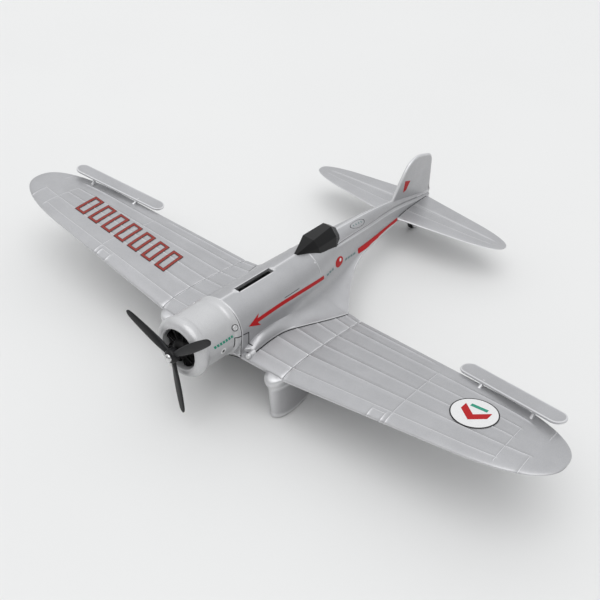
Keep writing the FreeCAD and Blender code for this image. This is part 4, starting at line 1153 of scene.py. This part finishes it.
# Dashes before and behind the round badge: from, to, height.
DASHES = [(114.6, 116.8, 3.4), (117.6, 119.8, 3.8), (120.6, 122.6, 4.1), (136.8, 139.0, 3.2),
          (140.0, 142.4, 2.8), (143.4, 145.8, 2.5), (146.8, 149.4, 2.2)]
for index, (start, end, height) in enumerate(DASHES):
    body_strip("side_dash_%d" % index, [(start, height, 0.75), (end, height - 0.1, 0.75)], GREY, 0.07, 6)


def disc(name, surface, radius, material, inner=0.0, count=40):
    """A round or ring-shaped marking on the surface that a patch function gives."""
    grid = []
    for index in range(count + 1):
        t = 2.0 * pi * index / count
        grid.append([surface(r * cos(t), r * sin(t))
                     for r in (inner + (radius - inner) * k / 6.0 for k in range(7))])
    sheet_piece(name, grid, material)


# Each patch function turns two distances from its middle into a point on the surface.
def side_patch(y0, z0, lift):
    return lambda u, v: on_side(y0 + u, z0, v, lift)


def spine_patch(y0, x0, lift):
    return lambda u, v: on_spine(y0 + u, x0 + v, lift)


def cowl_patch(y0, angle0, lift):
    def spot(u, v):
        y = y0 + u
        r = cowl_radius(y) + lift
        angle = radians(angle0) + v / r
        return (r * sin(angle), y, cowl_middle(y) + r * cos(angle))
    return spot


def panel_patch(x0, y0, lift):
    return lambda u, v: wing_surface(x0 + u, y0 + v, lift)


STUD_Y = 31.8
STUD_TURN = 63.0
# Height above the foot and radius of the stud's rings, then distance aft and radius of the stub's.
STUD = ((0.0, 1.5), (0.42, 1.5), (0.62, 1.3), (0.62, 0.95), (0.45, 0.8), (0.45, 0.3))
STUB = ((35.6, 0.9), (35.75, 1.25), (36.2, 1.5), (37.4, 1.5), (37.6, 1.15), (38.0, 1.15), (38.2, 1.5),
        (41.5, 1.5))


def fillet_gap_shade(side, word):
    """Painted shade: a dark strip on the wing along the fillet's edge, standing for the shaded gap between
    the castings.
    """
    gap = []
    for y in paced(38.6, 42.0, 0.4) + paced(43.0, 109.5, 1.6):
        edge = max(x for x, z in hull_half(y)) + 0.02
        wide = 0.62 - 0.25 * ease(y, 50.0, 100.0)
        gap.append([(side * (edge + step), y, wing_surface(edge + step, y, 0.03)[2])
                    for step in (0.0, wide / 2, wide)])
    sheet_piece("fillet_gap_shade_" + word, gap, DARK)


def cowl_gap_shade(side, word):
    """Painted shade: a dark ring just behind the cowling's rear rim, darkening the gap between cowling and
    fuselage.
    """
    sheet_piece("cowl_gap_shade_" + word, [[(side * x * 0.994, y, z * 0.994) for x, z in hull_half(36.3)]
                for y in (35.25, 35.55, 35.85)], DARK)


def cowl_stud(side, word):
    """Round stud with a hollow top on the rear of the cowling, and the dark ring at its foot."""
    angle = radians(STUD_TURN)
    out = Vector((side * sin(angle), 0.0, cos(angle)))
    across = Vector((cos(angle), 0.0, -side * sin(angle)))
    foot = Vector((0.0, STUD_Y, cowl_middle(STUD_Y))) + out * (cowl_radius(STUD_Y) - 0.3)
    stud = bmesh.new()
    rings(stud, [circle(foot + out * high, across, AFT, r, 28) for high, r in STUD])
    finish_piece("cowl_stud_" + word, stud, material=COWL_SILVER)
    port = cowl_patch(STUD_Y, STUD_TURN, 0.05)
    disc("stud_ring_" + word, lambda u, v: (side * port(u, v)[0], *port(u, v)[1:]), 2.0, DARK, 1.62)


def root_stub(side, word):
    """Small stepped stub at the front of the wing root."""
    stub = bmesh.new()
    rings(stub, [[(side * 21.6 + r * cos(t), y, -9.9 + (y - STUB[0][0]) * 0.07 + r * sin(t))
                  for t in turns(24)] for y, r in STUB])
    finish_piece("root_stub_" + word, stub, material=COWL_SILVER)


def tail_gap_shade(side, word):
    """Painted shade: a dark strip on the tailplane where it comes out of the tail cone, darkening the
    joint.
    """
    leading, trailing = tail_edges(4.0)
    seam = []
    for y in paced(208.5, 248.0, 1.5):
        top = TAIL_Z + tail_half((y - leading) / (trailing - leading), trailing - leading)
        x = on_side(y, top, 0.0, 0.0)[0]
        seam.append([(side * (x + step), y, top + 0.04) for step in (0.0, 0.2, 0.42)])
    sheet_piece("tail_gap_shade_" + word, seam, DARK)


both_sides(fillet_gap_shade, cowl_gap_shade, cowl_stud, root_stub, tail_gap_shade)
body_strip("hatch_line_top", [(36.7, 2.6, 0.32), (41.4, 1.9, 0.32)], DARK, 0.05, 8)
sheet_piece("hatch_line_rear", [[on_side(y + 0.06 * k, 2.0, -0.9 * k, 0.05) for y in (40.85, 41.45)]
                                for k in range(13)], DARK)
sheet_piece("cowl_line_top", [[cowl_patch(y, 82.3 + 0.45 * (y - 30.3), 0.05)(0.0, step)
                               for step in (-0.3, 0.0, 0.3)] for y in paced(30.3, 35.0, 0.35)], DARK)
sheet_piece("cowl_line_front", [[cowl_patch(30.4, 82.3 + 3.0 * k, 0.05)(step, 0.0)
                                 for step in (-0.3, 0.0, 0.3)] for k in range(9)], DARK)
badge = side_patch(129.6, 5.2, 0.06)
disc("badge_dot", lambda u, v: badge(1.35 * u, v), 3.3, RED)
disc("badge_dot_centre", side_patch(131.0, 6.0, 0.10), 1.1, WHITE)
disc("spine_oval", lambda u, v: on_spine(159.0 + u * 2.6, 3.8 + v * 0.62, 0.06), 3.0, DARK, 2.76)
for index, along in enumerate((-4.2, -1.4, 1.4, 4.2)):
    disc("spine_oval_dot_%d" % index, spine_patch(159.0 + along, 3.8, 0.06), 0.55, GREY, 0.0, 16)
disc("cowl_dot", cowl_patch(21.6, 96.6, 0.05), 2.0, WHITE)
disc("cowl_dot_centre", cowl_patch(21.6, 96.6, 0.09), 0.9, DARK)


def grid_patch(surface, corners, along=24):
    """A four-cornered patch on a surface; corners run round it."""
    a, b, c, d = (Vector(corner) for corner in corners)
    grid = []
    for i in range(along + 1):
        left = a.lerp(d, i / along)
        right = b.lerp(c, i / along)
        grid.append([surface(*left.lerp(right, k / 6)) for k in range(7)])
    return grid


for index in range(7):
    start = -7.4 + 2.15 * index
    corners = [(start, -0.85), (start + 0.5, 0.85), (start + 2.0, 0.85), (start + 1.5, -0.85)]
    sheet_piece("cowl_dash_%d" % index, grid_patch(cowl_patch(22.0, 77.2, 0.05), corners, 6), GREEN)

# Port wing: a white roundel with a dark rim and a plain chevron over a bar.
ROUNDEL = (142.7, 70.9)
disc("roundel_rim", panel_patch(*ROUNDEL, 0.05), 12.6, DARK, 11.95, 72)
disc("roundel_field", panel_patch(*ROUNDEL, 0.05), 11.95, WHITE, 0.0, 72)
for index, side in enumerate((1, -1)):
    arm = [(0.0, -7.2), (0.0, -1.8), (side * 7.4, 4.7), (side * 7.4, -0.7)]
    sheet_piece("roundel_chevron_%d" % index, grid_patch(panel_patch(*ROUNDEL, 0.10), arm), RED)
sheet_piece("roundel_bar", grid_patch(panel_patch(*ROUNDEL, 0.10),
                                      [(-4.7, 4.0), (-4.7, 6.3), (4.7, 6.3), (4.7, 4.0)]), GREEN)

# Starboard wing: a row of plain slanted frames where the real one has its marks.
FRAME_START = 72.5
FRAME_STEP = 12.3
FRAME_LEAN = 1.0 / 6.0


def wing_frame(name, x, half, front, rear, stroke, lift, colour):
    """A hollow leaning rectangle printed on the wing."""
    grid = []
    corners = [(-half, front), (half, front), (half, rear), (-half, rear), (-half, front)]
    middle = (front + rear) / 2.0
    for (u0, v0), (u1, v1) in zip(corners, corners[1:]):
        for i in range(14):
            u, v = u0 + (u1 - u0) * i / 14.0, v0 + (v1 - v0) * i / 14.0
            row = []
            for k in range(4):
                inset = stroke * k / 3.0
                a = u * (1.0 - inset / half)
                b = middle + (v - middle) * (1.0 - inset / (rear - middle))
                row.append(wing_surface(x + a + FRAME_LEAN * (middle - b), b, lift))
            grid.append(row)
    sheet_piece(name, grid + grid[:1], colour)


for index in range(7):
    x = -(FRAME_START + FRAME_STEP * index)
    wing_frame("wing_frame_edge_%d" % index, x, 4.3, 57.0, 77.6, 2.2, 0.05, DARK)
    wing_frame("wing_frame_%d" % index, x, 4.05, 57.3, 77.3, 1.7, 0.09, BROWN_RED)

# Flag on the fin's port side.
sheet_piece("fin_mark", [[(1.13, 216.0, 16.0), (1.13, 219.5, 16.6)],
                         [(1.13, 216.6, 24.5), (1.13, 223.5, 22.5)]], RED)

# ---- carried CAD nodes
SHOWN = {"tail_wheel_fork": SILVER, "coin_trap": TRAP_BLACK, "lock_barrel": LOCK, "lock_cam": LOCK,
         "main_axle_left": PIN, "main_axle_right": PIN, "tail_wheel_axle": PIN,
         "body_screws": STEEL, "wing_screws": STEEL, "gear_screws": STEEL}
for node_name, material in SHOWN.items():
    slots = frame["nodes"][node_name].data.materials
    slots.clear()
    slots.append(material)

# ---- floor, light, camera
floor_mesh = bmesh.new()
bmesh.ops.create_grid(floor_mesh, x_segments=4, y_segments=4, size=6.0)
floor = show("floor", floor_mesh)
floor_material, floor_tree, floor_shader = node_tree("pale_floor")
shade = ramp(floor_tree, noise(floor_tree, 3.0, 3.0), [(0.3, (0.78, 0.78, 0.775)),
                                                       (0.7, (0.80, 0.80, 0.795))])
floor_tree.links.new(shade, floor_shader.inputs["Base Color"])
floor_shader.inputs["Roughness"].default_value = 0.65
floor.data.materials.append(floor_material)


def lamp(name, kind, energy, aim, where=(0.0, 0.0, 0.0)):
    """A light that shines along a direction."""
    light = bpy.data.lights.new(name, kind)
    light.energy = energy
    shown = bpy.data.objects.new(name, light)
    shown.location = where
    shown.rotation_mode = "QUATERNION"
    shown.rotation_quaternion = Vector(aim).to_track_quat("-Z", "Y")
    bpy.context.scene.collection.objects.link(shown)
    return light


window = lamp("left_window", "AREA", 0.8, (1.3, 0.9, -0.97), (-1.3, -0.9, 1.0))
window.shape = "RECTANGLE"
window.size = 1.0
window.size_y = 1.0
ceiling = lamp("ceiling", "SUN", 1.0, (-0.20, 0.26, -1.0))
ceiling.angle = radians(60.0)

world = bpy.data.worlds.new("studio")
world.use_nodes = True
background = world.node_tree.nodes["Background"]
background.inputs["Color"].default_value = (0.90, 0.91, 0.92, 1.0)
# The studio's far wall and ceiling are brighter than its near side.
heading = add(world.node_tree, "ShaderNodeTexCoord")
facing = add(world.node_tree, "ShaderNodeVectorMath", {"operation": "DOT_PRODUCT"})
facing.inputs[1].default_value = Vector((-0.25, 0.42, 0.87)).normalized()
world.node_tree.links.new(heading.outputs["Generated"], facing.inputs[0])
glow = span(world.node_tree, facing.outputs["Value"], 0.40, 1.19, 0.1, 1.0)
world.node_tree.links.new(glow, background.inputs["Strength"])
bpy.context.scene.world = world
bpy.context.scene.view_settings.view_transform = "Standard"

AZIMUTH = radians(39.25)
ELEVATION = radians(41.08)
camera_data = bpy.data.cameras.new("camera")
camera_data.sensor_width = 36.0
camera_data.lens = 52.09
camera = bpy.data.objects.new("camera", camera_data)
bpy.context.scene.collection.objects.link(camera)
camera.location = HUB + Vector((0.2593, -0.2106, 0.3241))
back = Vector((sin(AZIMUTH) * cos(ELEVATION), -cos(AZIMUTH) * cos(ELEVATION),
               sin(ELEVATION)))
camera.rotation_mode = "QUATERNION"
camera.rotation_quaternion = (-back).to_track_quat("-Z", "Y")
bpy.context.scene.camera = camera
